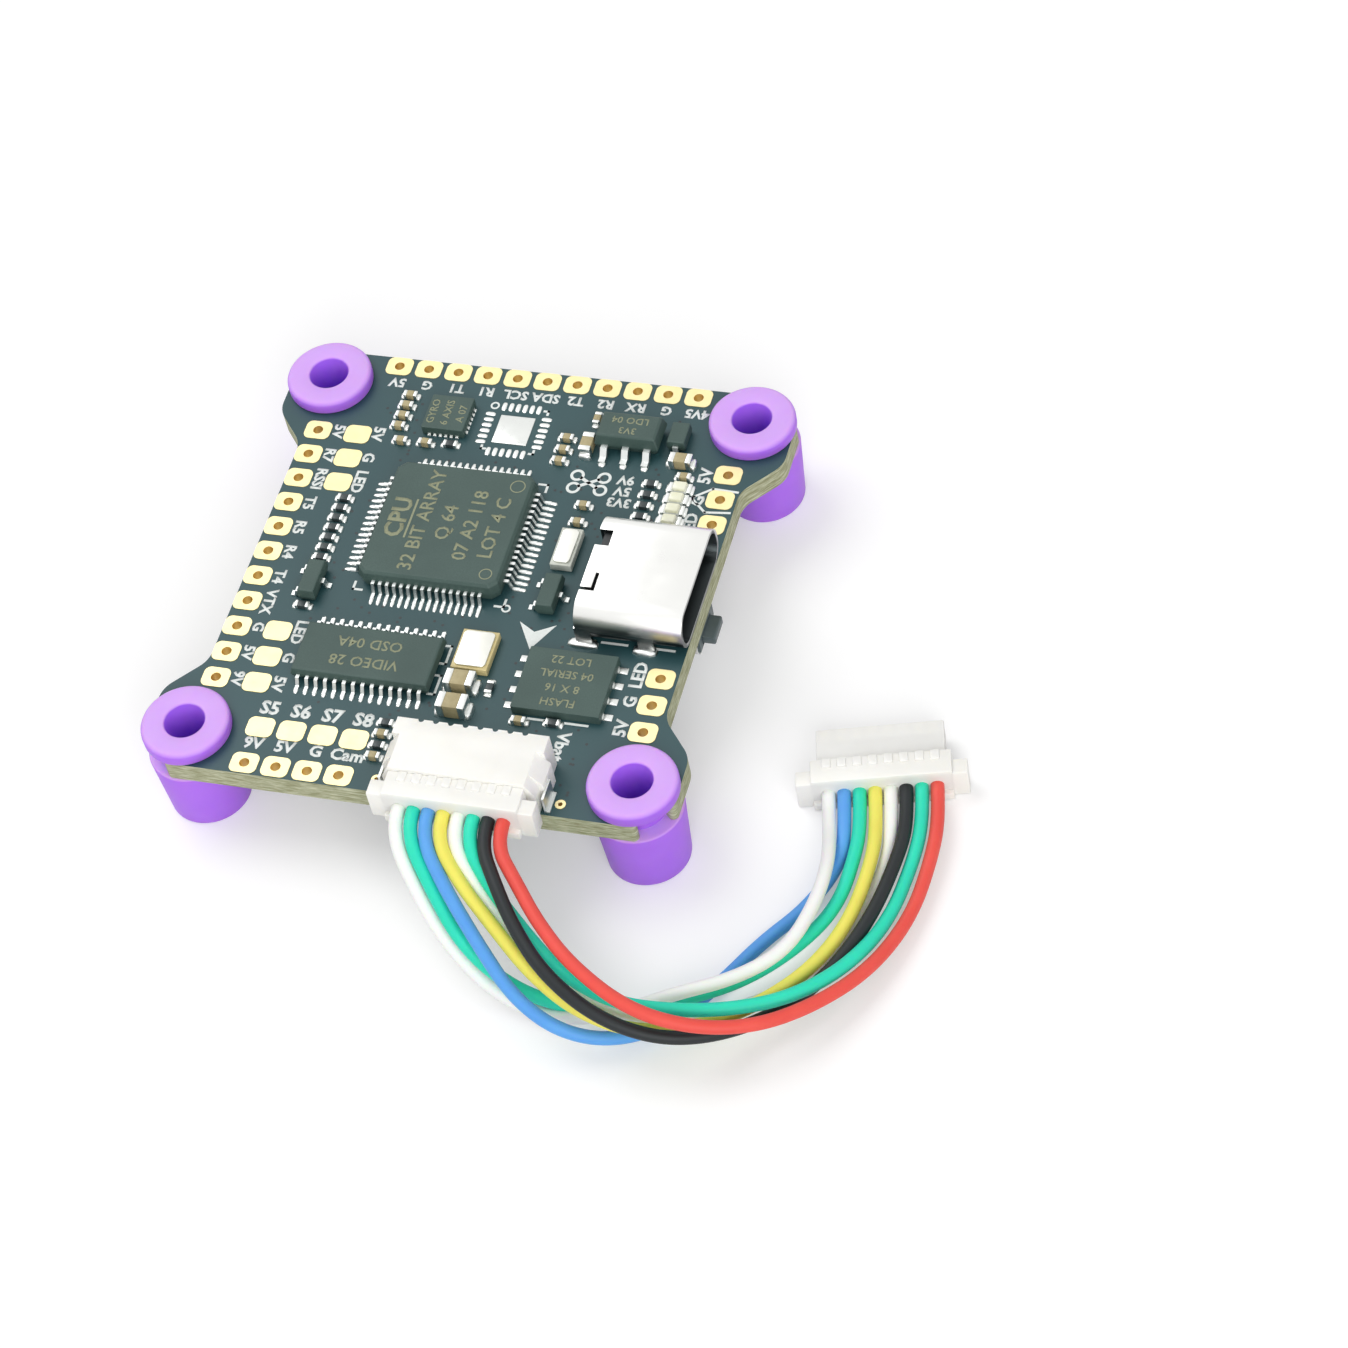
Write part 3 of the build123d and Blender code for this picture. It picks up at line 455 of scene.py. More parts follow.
def eased(node, width_mm, material):
    """A copy of a CAD node with its loose triangles joined and its hard edges rounded."""
    mesh = frame["nodes"][node].data.copy()
    form = bmesh.new()
    form.from_mesh(mesh)
    bmesh.ops.remove_doubles(form, verts=form.verts, dist=1e-7)
    bmesh.ops.dissolve_limit(form, angle_limit=math.radians(0.5), verts=form.verts, edges=form.edges)
    form.to_mesh(mesh)
    form.free()
    mesh.name = node + "_eased"
    mesh.materials.clear()
    mesh.materials.append(material)
    mesh.shade_smooth()
    piece = bpy.data.objects.new(node + "_eased", mesh)
    round_edges(piece, width_mm, 35).harden_normals = True
    seat(piece, BODY_OF[node])
    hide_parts(node)


def finish_node(node, material):
    """Gives a CAD node its real material and keeps its shape."""
    mesh = frame["nodes"][node].data
    mesh.materials.clear()
    mesh.materials.append(material)


# ---- Wires ----
WIRE_DIAMETER = 0.9
WIRE_COUNT = 8
WIRE_PITCH = 1.0
HALF_ROW = (WIRE_COUNT - 1) / 2 * WIRE_PITCH
STRAIGHT_END = 2.55
PLUG_LIP = 0.35
WIRE_Z = 8.2
EXIT_Y = -20.3 + PLUG_LIP
SOCKET_X = 4.7
FAR_PLUG = (29.45, -9.3, 1.32)
FAR_TURN = math.radians(15.0)
# The wires lean over together as they leave the socket, and less from one point to the next.
LEAN = np.array([1.0, 0.75, -0.35])
LEAN_SHARES = (1.0, 0.85, 0.5, 0.2)

# Place in the near plug, place in the far plug, and the points between, for each wire.
WIRES = {
    "wire_1_white": (0, 0, [
        (2.3, -25.3, 6.8), (4.7, -27.2, 4.0), (8.1, -28.6, 1.9), (12.1, -29.3, 0.9),
        (16.4, -29.1, 1.9), (20.4, -27.2, 2.7), (23.9, -25.4, 2.6), (26.5, -22.7, 2.4),
        (27.5, -19.0, 2.5), (27.5, -15.6, 2.3)]),
    "wire_2_green": (1, 2, [
        (3.4, -25.2, 7.0), (5.9, -27.6, 5.0), (9.2, -28.6, 2.9), (13.0, -28.8, 1.7),
        (17.2, -28.1, 1.4), (21.0, -26.7, 1.5), (24.4, -24.6, 1.5), (27.1, -21.5, 1.5),
        (28.6, -18.1, 1.2), (28.8, -14.3, 1.3)]),
    "wire_3_blue": (2, 1, [
        (4.4, -25.3, 7.5), (7.5, -28.2, 6.0), (10.6, -30.4, 4.3), (13.9, -31.2, 2.7),
        (17.3, -30.4, 1.4), (20.2, -28.0, 0.5), (22.5, -24.6, 0.5), (24.3, -21.2, 0.5),
        (26.5, -18.2, 0.5), (27.9, -14.6, 0.7)]),
    "wire_4_yellow": (3, 3, [
        (5.2, -24.8, 7.5), (8.0, -26.8, 6.3), (11.4, -28.9, 4.9), (15.0, -30.2, 3.7),
        (19.0, -30.4, 2.8), (23.0, -28.9, 2.4), (26.1, -26.2, 2.0), (28.4, -22.9, 1.6),
        (29.7, -19.0, 1.4), (30.0, -14.3, 1.5)]),
    "wire_5_white": (4, 4, [
        (6.2, -24.6, 6.8), (9.1, -26.6, 4.9), (12.6, -28.3, 4.2), (16.6, -29.3, 3.1),
        (20.4, -28.9, 2.2), (23.3, -27.4, 1.5), (26.2, -25.0, 0.6), (28.8, -21.9, 0.5),
        (30.2, -18.0, 0.5), (30.8, -13.9, 0.7)]),
    "wire_6_green": (5, 6, [
        (7.1, -24.6, 7.2), (9.9, -26.7, 6.2), (13.2, -28.7, 5.4), (17.2, -29.7, 4.6),
        (20.8, -29.2, 4.0), (24.4, -28.2, 3.5), (27.7, -26.3, 2.8), (30.4, -23.2, 2.2),
        (32.0, -18.9, 1.2), (32.5, -14.0, 1.1)]),
    "wire_7_black": (6, 5, [
        (7.8, -25.0, 8.3), (9.7, -27.3, 7.5), (12.6, -29.6, 6.5), (16.4, -31.1, 5.1),
        (20.3, -31.2, 3.8), (23.6, -29.9, 2.8), (26.7, -27.2, 1.8), (29.2, -23.7, 1.5),
        (31.0, -19.1, 1.7), (31.6, -14.0, 1.6)]),
    "wire_8_red": (7, 7, [
        (9.1, -24.7, 8.2), (11.3, -27.0, 7.7), (14.4, -29.1, 7.0), (18.6, -30.7, 5.8),
        (22.6, -30.6, 4.7), (26.2, -29.3, 3.7), (29.2, -26.5, 2.6), (31.8, -22.7, 1.6),
        (33.3, -18.1, 1.0), (33.6, -13.6, 1.2)]),
}
INSULATION = {
    "white": silicone("white_silicone_insulation", "#fafbf8", "#f1f2ee", 0.2),
    "green": silicone("green_silicone_insulation", "#2fe6c2", "#22d3b0", 0.2),
    "blue": silicone("blue_silicone_insulation", "#66aef0", "#549ce4", 0.2),
    "yellow": silicone("yellow_silicone_insulation", "#f6ee6c", "#e8de5c", 0.2),
    "black": silicone("black_silicone_insulation", "#22282a", "#191e20", 0.2),
    "red": silicone("red_silicone_insulation", "#f25d52", "#e04b41", 0.2),
}


def route_of(near, far, middle):
    """The wire's points: two in line at each plug, with the chosen ones between."""
    start = np.array([SOCKET_X + near * WIRE_PITCH - HALF_ROW, EXIT_Y, WIRE_Z])
    along = far * WIRE_PITCH - HALF_ROW
    end = np.array([FAR_PLUG[0] + along * math.cos(FAR_TURN) - PLUG_LIP * math.sin(FAR_TURN),
                    FAR_PLUG[1] + along * math.sin(FAR_TURN) + PLUG_LIP * math.cos(FAR_TURN), FAR_PLUG[2]])
    out = start + [0, -0.7 * STRAIGHT_END, -0.1]
    before = end + np.array([math.sin(FAR_TURN), -math.cos(FAR_TURN), 0]) * STRAIGHT_END
    middle = np.array(middle)
    middle[:len(LEAN_SHARES)] += np.outer(LEAN_SHARES, LEAN)
    return np.vstack([start, out, middle, before, end])


def lay_wires():
    """Eight round insulated wires, each a smooth NURBS line through its route, free between the plugs."""
    for node, (near, far, middle) in WIRES.items():
        route = route_of(near, far, middle) * MM
        curve = bpy.data.curves.new(node + "_cord", "CURVE")
        curve.dimensions = "3D"
        curve.resolution_u = 14
        curve.bevel_depth = WIRE_DIAMETER / 2 * MM
        curve.bevel_resolution = 5
        curve.use_fill_caps = True
        line = curve.splines.new("NURBS")
        line.points.add(len(route) - 1)
        for point, spot in zip(line.points, route):
            point.co = (*spot, 1.0)
        line.order_u = 3
        line.use_endpoint_u = True
        colour = node.split("_")[-1]
        curve.materials.append(INSULATION[colour])
        wire = seat(bpy.data.objects.new(node + "_cord", curve), "harness")
        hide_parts(node)


# ---- Plugs ----
def rounded_blocks(blocks, radius, steps=3):
    """Boxes with rounded edges: an outline of four quarter arcs, drawn in at the bottom and the top by
    radius times one minus the cosine as the height moves by radius times the sine."""
    turn = np.linspace(0, math.pi / 2, steps)
    rise = np.linspace(0, math.pi / 2, steps)
    shells = []
    for x0, x1, y0, y1, z0, z1 in blocks:
        r = min(radius, (x1 - x0) / 2.1, (y1 - y0) / 2.1, (z1 - z0) / 2.1)
        half = np.array([(x1 - x0) / 2 - r, (y1 - y0) / 2 - r])
        centre = np.array([(x0 + x1) / 2, (y0 + y1) / 2])
        corners = np.array([(1, 1), (-1, 1), (-1, -1), (1, -1)])
        arc = np.concatenate([turn + k * math.pi / 2 for k in range(4)])
        pivots = np.repeat(corners, steps, axis=0) * half
        ways = np.column_stack([np.cos(arc), np.sin(arc)])
        levels = [(z0 + r - r * np.sin(a), np.cos(a)) for a in rise[::-1]]
        levels += [(z1 - r + r * np.sin(a), np.cos(a)) for a in rise]
        shells.append(np.concatenate([
            np.column_stack([centre + pivots + ways * r * max(reach, 0.02), np.full(len(ways), height)])
            for height, reach in levels]))
    ring = 4 * steps
    rows = 2 * steps
    faces = grid_faces(rows, ring)
    faces += [list(range(ring - 1, -1, -1)), [(rows - 1) * ring + k for k in range(ring)]]
    return many((shells[0], faces), shells)


def plug_blocks():
    """A crimp plug about the middle of its wire row, nose towards +Y: the body, the lip under the wires,
    the ears, the block behind the nose, the nose's roof and floor, the walls between its cells, and a
    finger mark over each wire."""
    half = HALF_ROW
    cell = 0.31
    nose = half + 0.65
    blocks = [
        (-half - 1.05, half + 1.05, PLUG_LIP, 2.2, -1.3, 1.3),
        (-half - 1.03, half + 1.03, 0.0, 0.55, -1.26, -0.6),
        (-half - 2.05, half + 2.05, PLUG_LIP + 0.02, PLUG_LIP + 1.2, -1.28, 1.05),
        (-half - 0.62, half + 0.62, 2.0, 3.9, -0.84, 0.84),
        (-nose, nose, 2.0, 4.9, cell, 0.875),
        (-nose, nose, 2.0, 4.9, -0.875, -cell),
    ]
    wires = np.arange(WIRE_COUNT) * WIRE_PITCH - half
    lefts = [-nose, *(wires + cell)]
    rights = [*(wires - cell), nose]
    blocks += [(left + 0.01, right - 0.01, 2.02, 4.89, -0.8, 0.8) for left, right in zip(lefts, rights)]
    blocks += [(x - 0.3, x + 0.3, 1.45, 2.19, 1.2, 1.42) for x in wires]
    return blocks


def mould_plugs():
    """The same plug twice: in the socket, and turned and lying on the floor at the far end."""
    plugs = []
    points, faces = rounded_blocks(plug_blocks(), 0.09)
    for node, origin, turn in (("plug_housing", (SOCKET_X, EXIT_Y - PLUG_LIP, WIRE_Z), 0.0),
                               ("far_plug_housing", FAR_PLUG, FAR_TURN)):
        cos, sin = math.cos(turn), math.sin(turn)
        x = points[:, 0] * cos - points[:, 1] * sin + origin[0]
        y = points[:, 0] * sin + points[:, 1] * cos + origin[1]
        placed = np.column_stack([x, y, points[:, 2] + origin[2]])
        plug = make(node + "_moulded", placed, faces, NYLON, BODY_OF[node], 40.0)
        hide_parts(node)
        plugs.append(plug)
    return plugs


PLUG_PIECES = mould_plugs()
for node in ("plug_terminals", "far_plug_terminals"):
    finish_node(node, PLATE)
    PLUG_PIECES.append(frame["nodes"][node])

lay_wires()

# ---- Plastic and metal that keep their CAD shape ----
eased("socket_housing", 0.08, NYLON)
eased("usb_shell", 0.05, ROLLED_STEEL)
eased("usb_insulator", 0.06, BLACK_LCP)
eased("power_inductors", 0.16, FERRITE)
eased("boot_button_base", 0.05, DARK_NYLON)
eased("boot_button_cover", 0.04, STEEL)
eased("boot_button_plunger", 0.04, DARK_NYLON)
for node, material in {
    "circuit_board": MASK, "edge_pads": GOLD, "surface_pads": GOLD, "usb_contacts": CONTACT_GOLD,
    "socket_contacts": PLATE, "socket_tabs": PLATE, "boot_button_dome": STEEL,
    "processor_leads": PLATE, "gyro_terminals": PLATE, "video_chip_leads": PLATE,
    "flash_chip_terminals": PLATE, "regulator_leads": PLATE, "transistor_leads": PLATE,
    "diode_leads": PLATE, "converter_leads": PLATE,
}.items():
    finish_node(node, material)

eased("video_crystal_tub", 0.06, TUB_CERAMIC)
eased("processor_crystal_tub", 0.06, PALE_CERAMIC)
eased("video_crystal_lid", 0.04, LID)
eased("processor_crystal_lid", 0.04, LID)
eased("status_led_body", 0.03, WHITE_CERAMIC)
eased("status_led_lenses", 0.08, RESIN)
for node, material in {
    "small_capacitor": TAN_CERAMIC, "bulk_capacitor": TAN_CERAMIC, "resistor": BLACK_GLAZE,
}.items():
    eased(node + "_body", 0.03, material)
    eased(node + "_ends", 0.07 if node != "resistor" else 0.04, TIN)
eased("status_led_ends", 0.04, TIN)


# ---- Grommets ----
def grommet_profile():
    """Radius and height down the outside of a grommet and up its bore, its corners rounded by arcs.
    Each corner is a quarter turn: centre plus radius times cosine and sine."""
    low, high = box_of("grommet_front_left")
    flange = (high[0] - low[0]) / 2 - 0.07
    barrel, foot, neck, bore = 3.02, 2.75, 2.0, 1.35
    top = high[2]

    def arc(centre_r, centre_z, radius, start, end, steps=6):
        turn = np.radians(np.linspace(start, end, steps))
        return np.column_stack([centre_r + radius * np.cos(turn), centre_z + radius * np.sin(turn)])

    return np.concatenate([
        arc(bore + 0.15, top - 0.15, 0.15, 180, 90, 4),
        arc(flange - 0.35, top - 0.35, 0.35, 90, 0),
        arc(flange - 0.12, BOARD_TOP + 0.12, 0.12, 0, -90, 4),
        [[neck, BOARD_TOP], [neck, BOARD_BOTTOM]],
        arc(barrel - 0.15, BOARD_BOTTOM - 0.15, 0.15, 90, 4, 4),
        arc(foot - 0.2, 0.2, 0.2, -4, -90, 5),
        arc(bore + 0.12, 0.12, 0.12, -90, -180, 4),
        [[bore, 0.3 * top], [bore, 0.6 * top]],
    ])


def mould_grommets():
    """Each grommet is its profile turned once round its bore: x and y are the radius times cosine and
    sine, and a slow wave of a few hundredths lets the rubber look moulded and not machined."""
    profile = grommet_profile()
    sides = 72
    angle = np.linspace(0, 2 * math.pi, sides, endpoint=False)
    rows = np.vstack([profile, profile[:1]])
    for number, node in enumerate(("grommet_front_left", "grommet_front_right",
                                   "grommet_rear_left", "grommet_rear_right")):
        low, high = box_of(node)
        middle = (low + high) / 2
        wave = 1 + 0.004 * np.sin(2 * angle + number) + 0.003 * np.sin(3 * angle + 2 * number)
        outer = (rows[:, 0] > 2.1)[:, None]
        radius = rows[:, 0][:, None] * np.where(outer, wave[None, :], 1.0)
        x = middle[0] + radius * np.cos(angle)[None, :]
        y = middle[1] + radius * np.sin(angle)[None, :]
        z = np.repeat(rows[:, 1][:, None], sides, axis=1)
        points = np.stack([x, y, z], axis=-1)[:-1].reshape(-1, 3)
        faces = [face[::-1] for face in wrapped_faces(len(profile), sides)]
        piece = make(node + "_moulded", points, faces, PURPLE, BODY_OF[node], 50.0)
        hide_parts(node)


mould_grommets()


# ---- Chips ----
def package(name, node, boxes, corner, draft, crown):
    """Moulded packages: an eight-sided outline, drawn in by the draft at the bottom, full at the parting
    line, and drawn in again over a narrow bevelled rim at the top."""
    rings = [(0.0, draft), (0.42, 0.0), (0.5, 0.0), (1.0 - crown, draft * 0.7), (1.0, draft + crown)]
    placed = []
    for low, high in boxes:
        middle = (low + high) / 2
        half = (high - low) / 2
        levels = []
        for share, inset in rings:
            a, b = half[0] - inset, half[1] - inset
            short_a, short_b = a - corner, b - corner
            outline = np.array([(a, -short_b), (a, short_b), (short_a, b), (-short_a, b),
                                (-a, short_b), (-a, -short_b), (-short_a, -b), (short_a, -b)])
            level = np.full((8, 1), low[2] + share * (high[2] - low[2]))
            levels.append(np.hstack([outline + middle[:2], level]))
        placed.append(np.concatenate(levels))
    faces = grid_faces(len(rings), 8)
    faces += [list(range(7, -1, -1)), [(len(rings) - 1) * 8 + k for k in range(8)]]
    points, all_faces = many((placed[0], faces), placed)
    piece = make(name, points, all_faces, EPOXY, "board", 20.0)
    round_edges(piece, 0.035, 20)
    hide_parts(node)


for node, corner, draft, crown in (
        ("processor_body", 0.5, 0.14, 0.13), ("gyro_body", 0.05, 0.0, 0.03),
        ("video_chip_body", 0.06, 0.16, 0.06), ("flash_chip_body", 0.05, 0.0, 0.03),
        ("regulator_body", 0.06, 0.26, 0.06), ("transistor_body", 0.05, 0.12, 0.04),
        ("diode_body", 0.05, 0.06, 0.04), ("converter_body", 0.05, 0.1, 0.04)):
    package(node + "_moulded", node, solids_of(node), corner, draft, crown)


# ---- Solder ----
def pillow():
    """A low solder pillow: its outline is a rounded square, the fifth-power mean of cosine and sine,
    and it rises from a flat base to its crown as the sine of a quarter turn."""
    sides, rises = 12, 4
    angle = np.linspace(0, 2 * math.pi, sides, endpoint=False)
    reach = (np.abs(np.cos(angle)) ** 5 + np.abs(np.sin(angle)) ** 5) ** (-1 / 5)
    levels = []
    for k in range(rises):
        lift = math.pi / 2 * k / rises
        width = math.cos(lift) ** 0.35
        levels.append(np.column_stack([reach * np.cos(angle) * width, reach * np.sin(angle) * width,
                                       np.full(sides, math.sin(lift))]))
    points = np.vstack(levels + [np.array([[0, 0, 1.0]])])
    crown = len(points) - 1
    faces = grid_faces(rises, sides)
    faces += [[(rises - 1) * sides + c, (rises - 1) * sides + (c + 1) % sides, crown] for c in range(sides)]
    faces.append(list(range(sides - 1, -1, -1)))
    return points, faces


def solder(name, footprints, under=False):
    """Pillows over rectangles given as two corners and a height, above or under the board."""
    shape = pillow()
    base = BOARD_BOTTOM if under else BOARD_TOP
    placed = []
    for x0, x1, y0, y1, height in footprints:
        scale = np.array([(x1 - x0) / 2, (y1 - y0) / 2, -height if under else height])
        placed.append(shape[0] * scale + [(x0 + x1) / 2, (y0 + y1) / 2, base])
    points, faces = many(shape, placed)
    if under:
        faces = [face[::-1] for face in faces]
    make(name, points, faces, TIN, "board", 60.0)


def lead_pads(leads, body, inward, outward, height):
    """A pad under each lead's foot, a little longer than the foot, away from the package."""
    low, high = box_of(body)
    middle = (low + high) / 2
    half = (high - low) / 2
    pads = []
    for a, b in solids_of(leads):
        spot = (a + b) / 2 - middle
        axis = 0 if abs(spot[0]) / half[0] > abs(spot[1]) / half[1] else 1
        sign = np.sign(spot[axis])
        edge = b[axis] if sign > 0 else a[axis]
        corners = [[a[0] - 0.03, b[0] + 0.03], [a[1] - 0.03, b[1] + 0.03]]
        corners[axis] = sorted((edge - sign * inward, edge + sign * outward))
        pads.append((*corners[0], *corners[1], height))
    return pads


solder("processor_solder", lead_pads("processor_leads", "processor_body", 0.6, 0.42, 0.1))
solder("video_chip_solder", lead_pads("video_chip_leads", "video_chip_body", 0.6, 0.15, 0.09))
solder("gyro_solder", lead_pads("gyro_terminals", "gyro_body", 0.02, 0.12, 0.12))
solder("regulator_solder", lead_pads("regulator_leads", "regulator_body", 0.6, 0.25, 0.14))


def pair_pads(bodies, ends, out, side, height, under=False):
    """Solder at both ends of each two-ended part: from the middle of its metal end to a short way out."""
    pads = []
    body_boxes = solids_of(bodies)
    for low, high in solids_of(ends):
        if (low[2] < BOARD_BOTTOM - 0.1) != under:
            continue
        spot = (low + high) / 2
        gaps = [np.linalg.norm((a + b)[:2] / 2 - spot[:2]) for a, b in body_boxes]
        a, b = body_boxes[int(np.argmin(gaps))]
        away = spot - (a + b) / 2
        axis = 0 if abs(away[0]) > abs(away[1]) else 1
        sign = np.sign(away[axis])
        corners = [[low[0] - side, high[0] + side], [low[1] - side, high[1] + side]]
        edge = high[axis] if sign > 0 else low[axis]
        corners[axis] = sorted((spot[axis], edge + sign * out))
        pads.append((*corners[0], *corners[1], height))
    return pads


solder("small_capacitor_solder", pair_pads("small_capacitor_body", "small_capacitor_ends", 0.22, 0.03, 0.2))
solder("bulk_capacitor_solder", pair_pads("bulk_capacitor_body", "bulk_capacitor_ends", 0.28, 0.04, 0.42))
solder("resistor_solder", pair_pads("resistor_body", "resistor_ends", 0.22, 0.03, 0.16))
solder("status_led_solder", pair_pads("status_led_body", "status_led_ends", 0.2, 0.02, 0.16))
solder("converter_capacitor_solder",
       pair_pads("bulk_capacitor_body", "bulk_capacitor_ends", 0.28, 0.04, 0.42, True), under=True)



def leg_mounds():
    """A mound of solder about each of the receptacle's four legs, longer at the rear pair."""
    low, high = box_of("usb_shell")
    sides = [(low[1] - 0.42, low[1] + 0.35), (high[1] - 0.35, high[1] + 0.42)]
    return [(x - reach, x + reach, *side, 0.34) for x, reach in ((8.8, 1.05), (13.0, 0.8)) for side in sides]


solder("usb_leg_solder", leg_mounds())

FOOTPRINT = (-1.12, 12.7)


def empty_footprint():
    """Tinned pads of a package that isn't fitted: six to a side about a square centre pad."""
    x, y = FOOTPRINT
    long, wide = 0.37, 0.17
    pads = []
    run = (np.arange(6) - 2.5) * 0.5
    for side in (-2.03, 2.03):
        pads += [(x + side - long, x + side + long, y + step - wide, y + step + wide, 0.07) for step in run]
        pads += [(x + step - wide, x + step + wide, y + side - long, y + side + long, 0.06) for step in run]
    return pads


solder("empty_footprint_tinning", empty_footprint())


def flat_tinning():
    """Tinned rectangles with rounded rims: the empty centre pad, and the pads beside the memory chip."""
    x, y = FOOTPRINT
    blocks = [(x - 1.25, x + 1.25, y - 1.25, y + 1.25, BOARD_TOP - 0.03, BOARD_TOP + 0.07)]
    low, high = box_of("flash_chip_body")
    for a, b in solids_of("flash_chip_terminals"):
        on_left = a[0] < (low[0] + high[0]) / 2
        ends = (low[0] - 0.68, low[0] + 0.1) if on_left else (high[0] - 0.1, high[0] + 0.68)
        middle = (a[1] + b[1]) / 2
        blocks.append((*ends, middle - 0.26, middle + 0.26, BOARD_TOP - 0.03, BOARD_TOP + 0.08))
    points, faces = rounded_blocks(blocks, 0.05)
    make("flat_tinning", points, faces, TIN, "board", 50.0)


flat_tinning()


# ---- Ink on the board and marks on the chips ----
def letters(text, x, y, turn, cap, z, film, weight=0.035):
    """A word as a thin slab: its own width centred on x and y, turned by so many degrees."""
    size = cap / 0.7
    curve = bpy.data.curves.new("word", "FONT")
    curve.body = text
    curve.size = size
    curve.align_x = "CENTER"
    curve.align_y = "CENTER"
    curve.offset = weight * size
    curve.extrude = film / 2
    curve.resolution_u = 2
    stand_in = bpy.data.objects.new("word", curve)
    mesh = bpy.data.meshes.new_from_object(stand_in)
    flat = np.zeros(len(mesh.vertices) * 3)
    mesh.vertices.foreach_get("co", flat)
    flat = flat.reshape(-1, 3)
    faces = [list(face.vertices) for face in mesh.polygons]
    bpy.data.objects.remove(stand_in)
    bpy.data.curves.remove(curve)
    bpy.data.meshes.remove(mesh)
    cos, sin = math.cos(math.radians(turn)), math.sin(math.radians(turn))
    return np.column_stack([flat[:, 0] * cos - flat[:, 1] * sin + x,
                            flat[:, 0] * sin + flat[:, 1] * cos + y, flat[:, 2] + z + film / 2]), faces


def slab(outline, z, film):
    """A thin slab over an outline that runs anticlockwise."""
    outline = np.asarray(outline, float)
    n = len(outline)
    points = np.vstack([np.column_stack([outline, np.full(n, z)]),
                        np.column_stack([outline, np.full(n, z + film)])])
    return points, grid_faces(2, n) + [list(range(n - 1, -1, -1)), list(range(n, 2 * n))]


def line(x0, y0, x1, y1, width, z, film):
    """A stroke between two points: its outline is half a width to either side."""
    start, end = np.array([x0, y0]), np.array([x1, y1])
    way = (end - start) / np.linalg.norm(end - start)
    side = np.array([way[1], -way[0]]) * width / 2
    reach = way * width / 2
    return slab([start - reach + side, end + reach + side, end + reach - side, start - reach - side], z, film)


def ring(x, y, radius, width, z, film):
    """A flat ring: two circles, each at the slab's foot and top, joined all round."""
    sides = 20
    angle = np.linspace(0, 2 * math.pi, sides, endpoint=False)
    circle = np.column_stack([np.cos(angle), np.sin(angle)])
    inner, outer = radius - width / 2, radius + width / 2
    points = np.vstack([np.column_stack([circle * r + (x, y), np.full(sides, height)])
                        for r, height in ((inner, z), (outer, z), (outer, z + film), (inner, z + film))])
    return points, wrapped_faces(4, sides)


# Ink lies a little into the mask, so that its foot doesn't show.
FILM = 0.02
INK_FOOT = BOARD_TOP - 0.002
PITCH = 2.165


def column(words, x, y, step, turn, cap):
    """Words one below another."""
    return [(word, x, y - i * step, turn, cap) for i, word in enumerate(words)]


def along(words, x, y, turn, cap, step=PITCH):
    """Words side by side."""
    return [(word, x + i * step, y, turn, cap) for i, word in enumerate(words)]


WORDS = (
    column(("5V", "R7", "RSSI", "T5", "R5", "R4", "T4", "VTX", "G", "5V", "9V"),
           -13.35, 10.95, PITCH, -90, 0.75)
    + column(("5V", "G", "LED"), -10.5, 11.1, PITCH, -90, 0.8)
    + column(("LED", "G", "5V"), -10.45, -6.4, PITCH, -90, 0.8)
    + along(("S5", "S6", "S7", "S8"), -10.3, -12.75, 0, 1.0)
    + along(("9V", "5V", "G", "Cam"), -10.5, -15.65, 0, 0.85)
    + along(("5V", "G", "T1", "R1", "SCL", "SDA", "T2", "R2", "RX", "G", "4V5"), -10.55, 15.9, 180, 0.75)
    + column(("5V", "G", "LED"), 13.15, 10.6, PITCH, 90, 0.85)
    + column(("LED", "G", "5V"), 13.15, -6.4, PITCH, 90, 0.85)
    + column(("9V", "5V", "3V3"), 7.85, 9.5, 0.98, 180, 0.75)
    + [("Vbat", 9.6, -12.75, -90, 0.85)]
)
STROKES = [
    (12.64, 8.62, 13.91, 9.58), (13.91, 9.58, 15.62, 9.5),
    (12.64, 8.62, 13.85, 7.51), (13.85, 7.51, 15.53, 7.69),
    (6.9, -10.9, 8.3, -10.9), (9.4, -10.9, 10.9, -10.9),
    (10.0, -4.15, 11.7, -4.15), (13.4, -4.15, 14.9, -4.15),
    (0.19, -6.0, 0.19, -7.46), (0.19, -8.45, 0.19, -9.98), (0.19, -6.0, -0.25, -6.0),
    (0.19, -7.46, -0.25, -7.46), (0.19, -8.45, -0.25, -8.45), (0.19, -9.98, -0.25, -9.98),
    (0.83, 14.68, 0.55, 14.68), (0.83, 14.68, 0.83, 14.4),
    (-2.92, 10.86, -2.64, 10.86), (-2.92, 10.86, -2.92, 11.1),
    (0.81, 10.81, 0.55, 10.81), (0.81, 10.81, 0.81, 11.1),
]


def processor_corners():
    """Two short strokes outside each corner of the processor."""
    low, high = box_of("processor_body")
    strokes = []
    for x, sx in ((low[0] - 0.3, 1), (high[0] + 0.3, -1)):
        for y, sy in ((low[1] - 0.3, 1), (high[1] + 0.3, -1)):
            strokes += [(x, y, x + 0.6 * sx, y), (x, y, x, y + 0.6 * sy)]
    return strokes


def pictogram(x, y):
    """A small generic multirotor: four rings on the arms of a cross."""
    rings = [ring(x + i * 0.95, y + j * 0.55, 0.4, 0.2, INK_FOOT, FILM) for i in (-1, 1) for j in (-1, 1)]
    arms = [line(x - 0.6, y - j * 0.35, x + 0.6, y + j * 0.35, 0.24, INK_FOOT, FILM) for j in (-1, 1)]
    return rings + arms


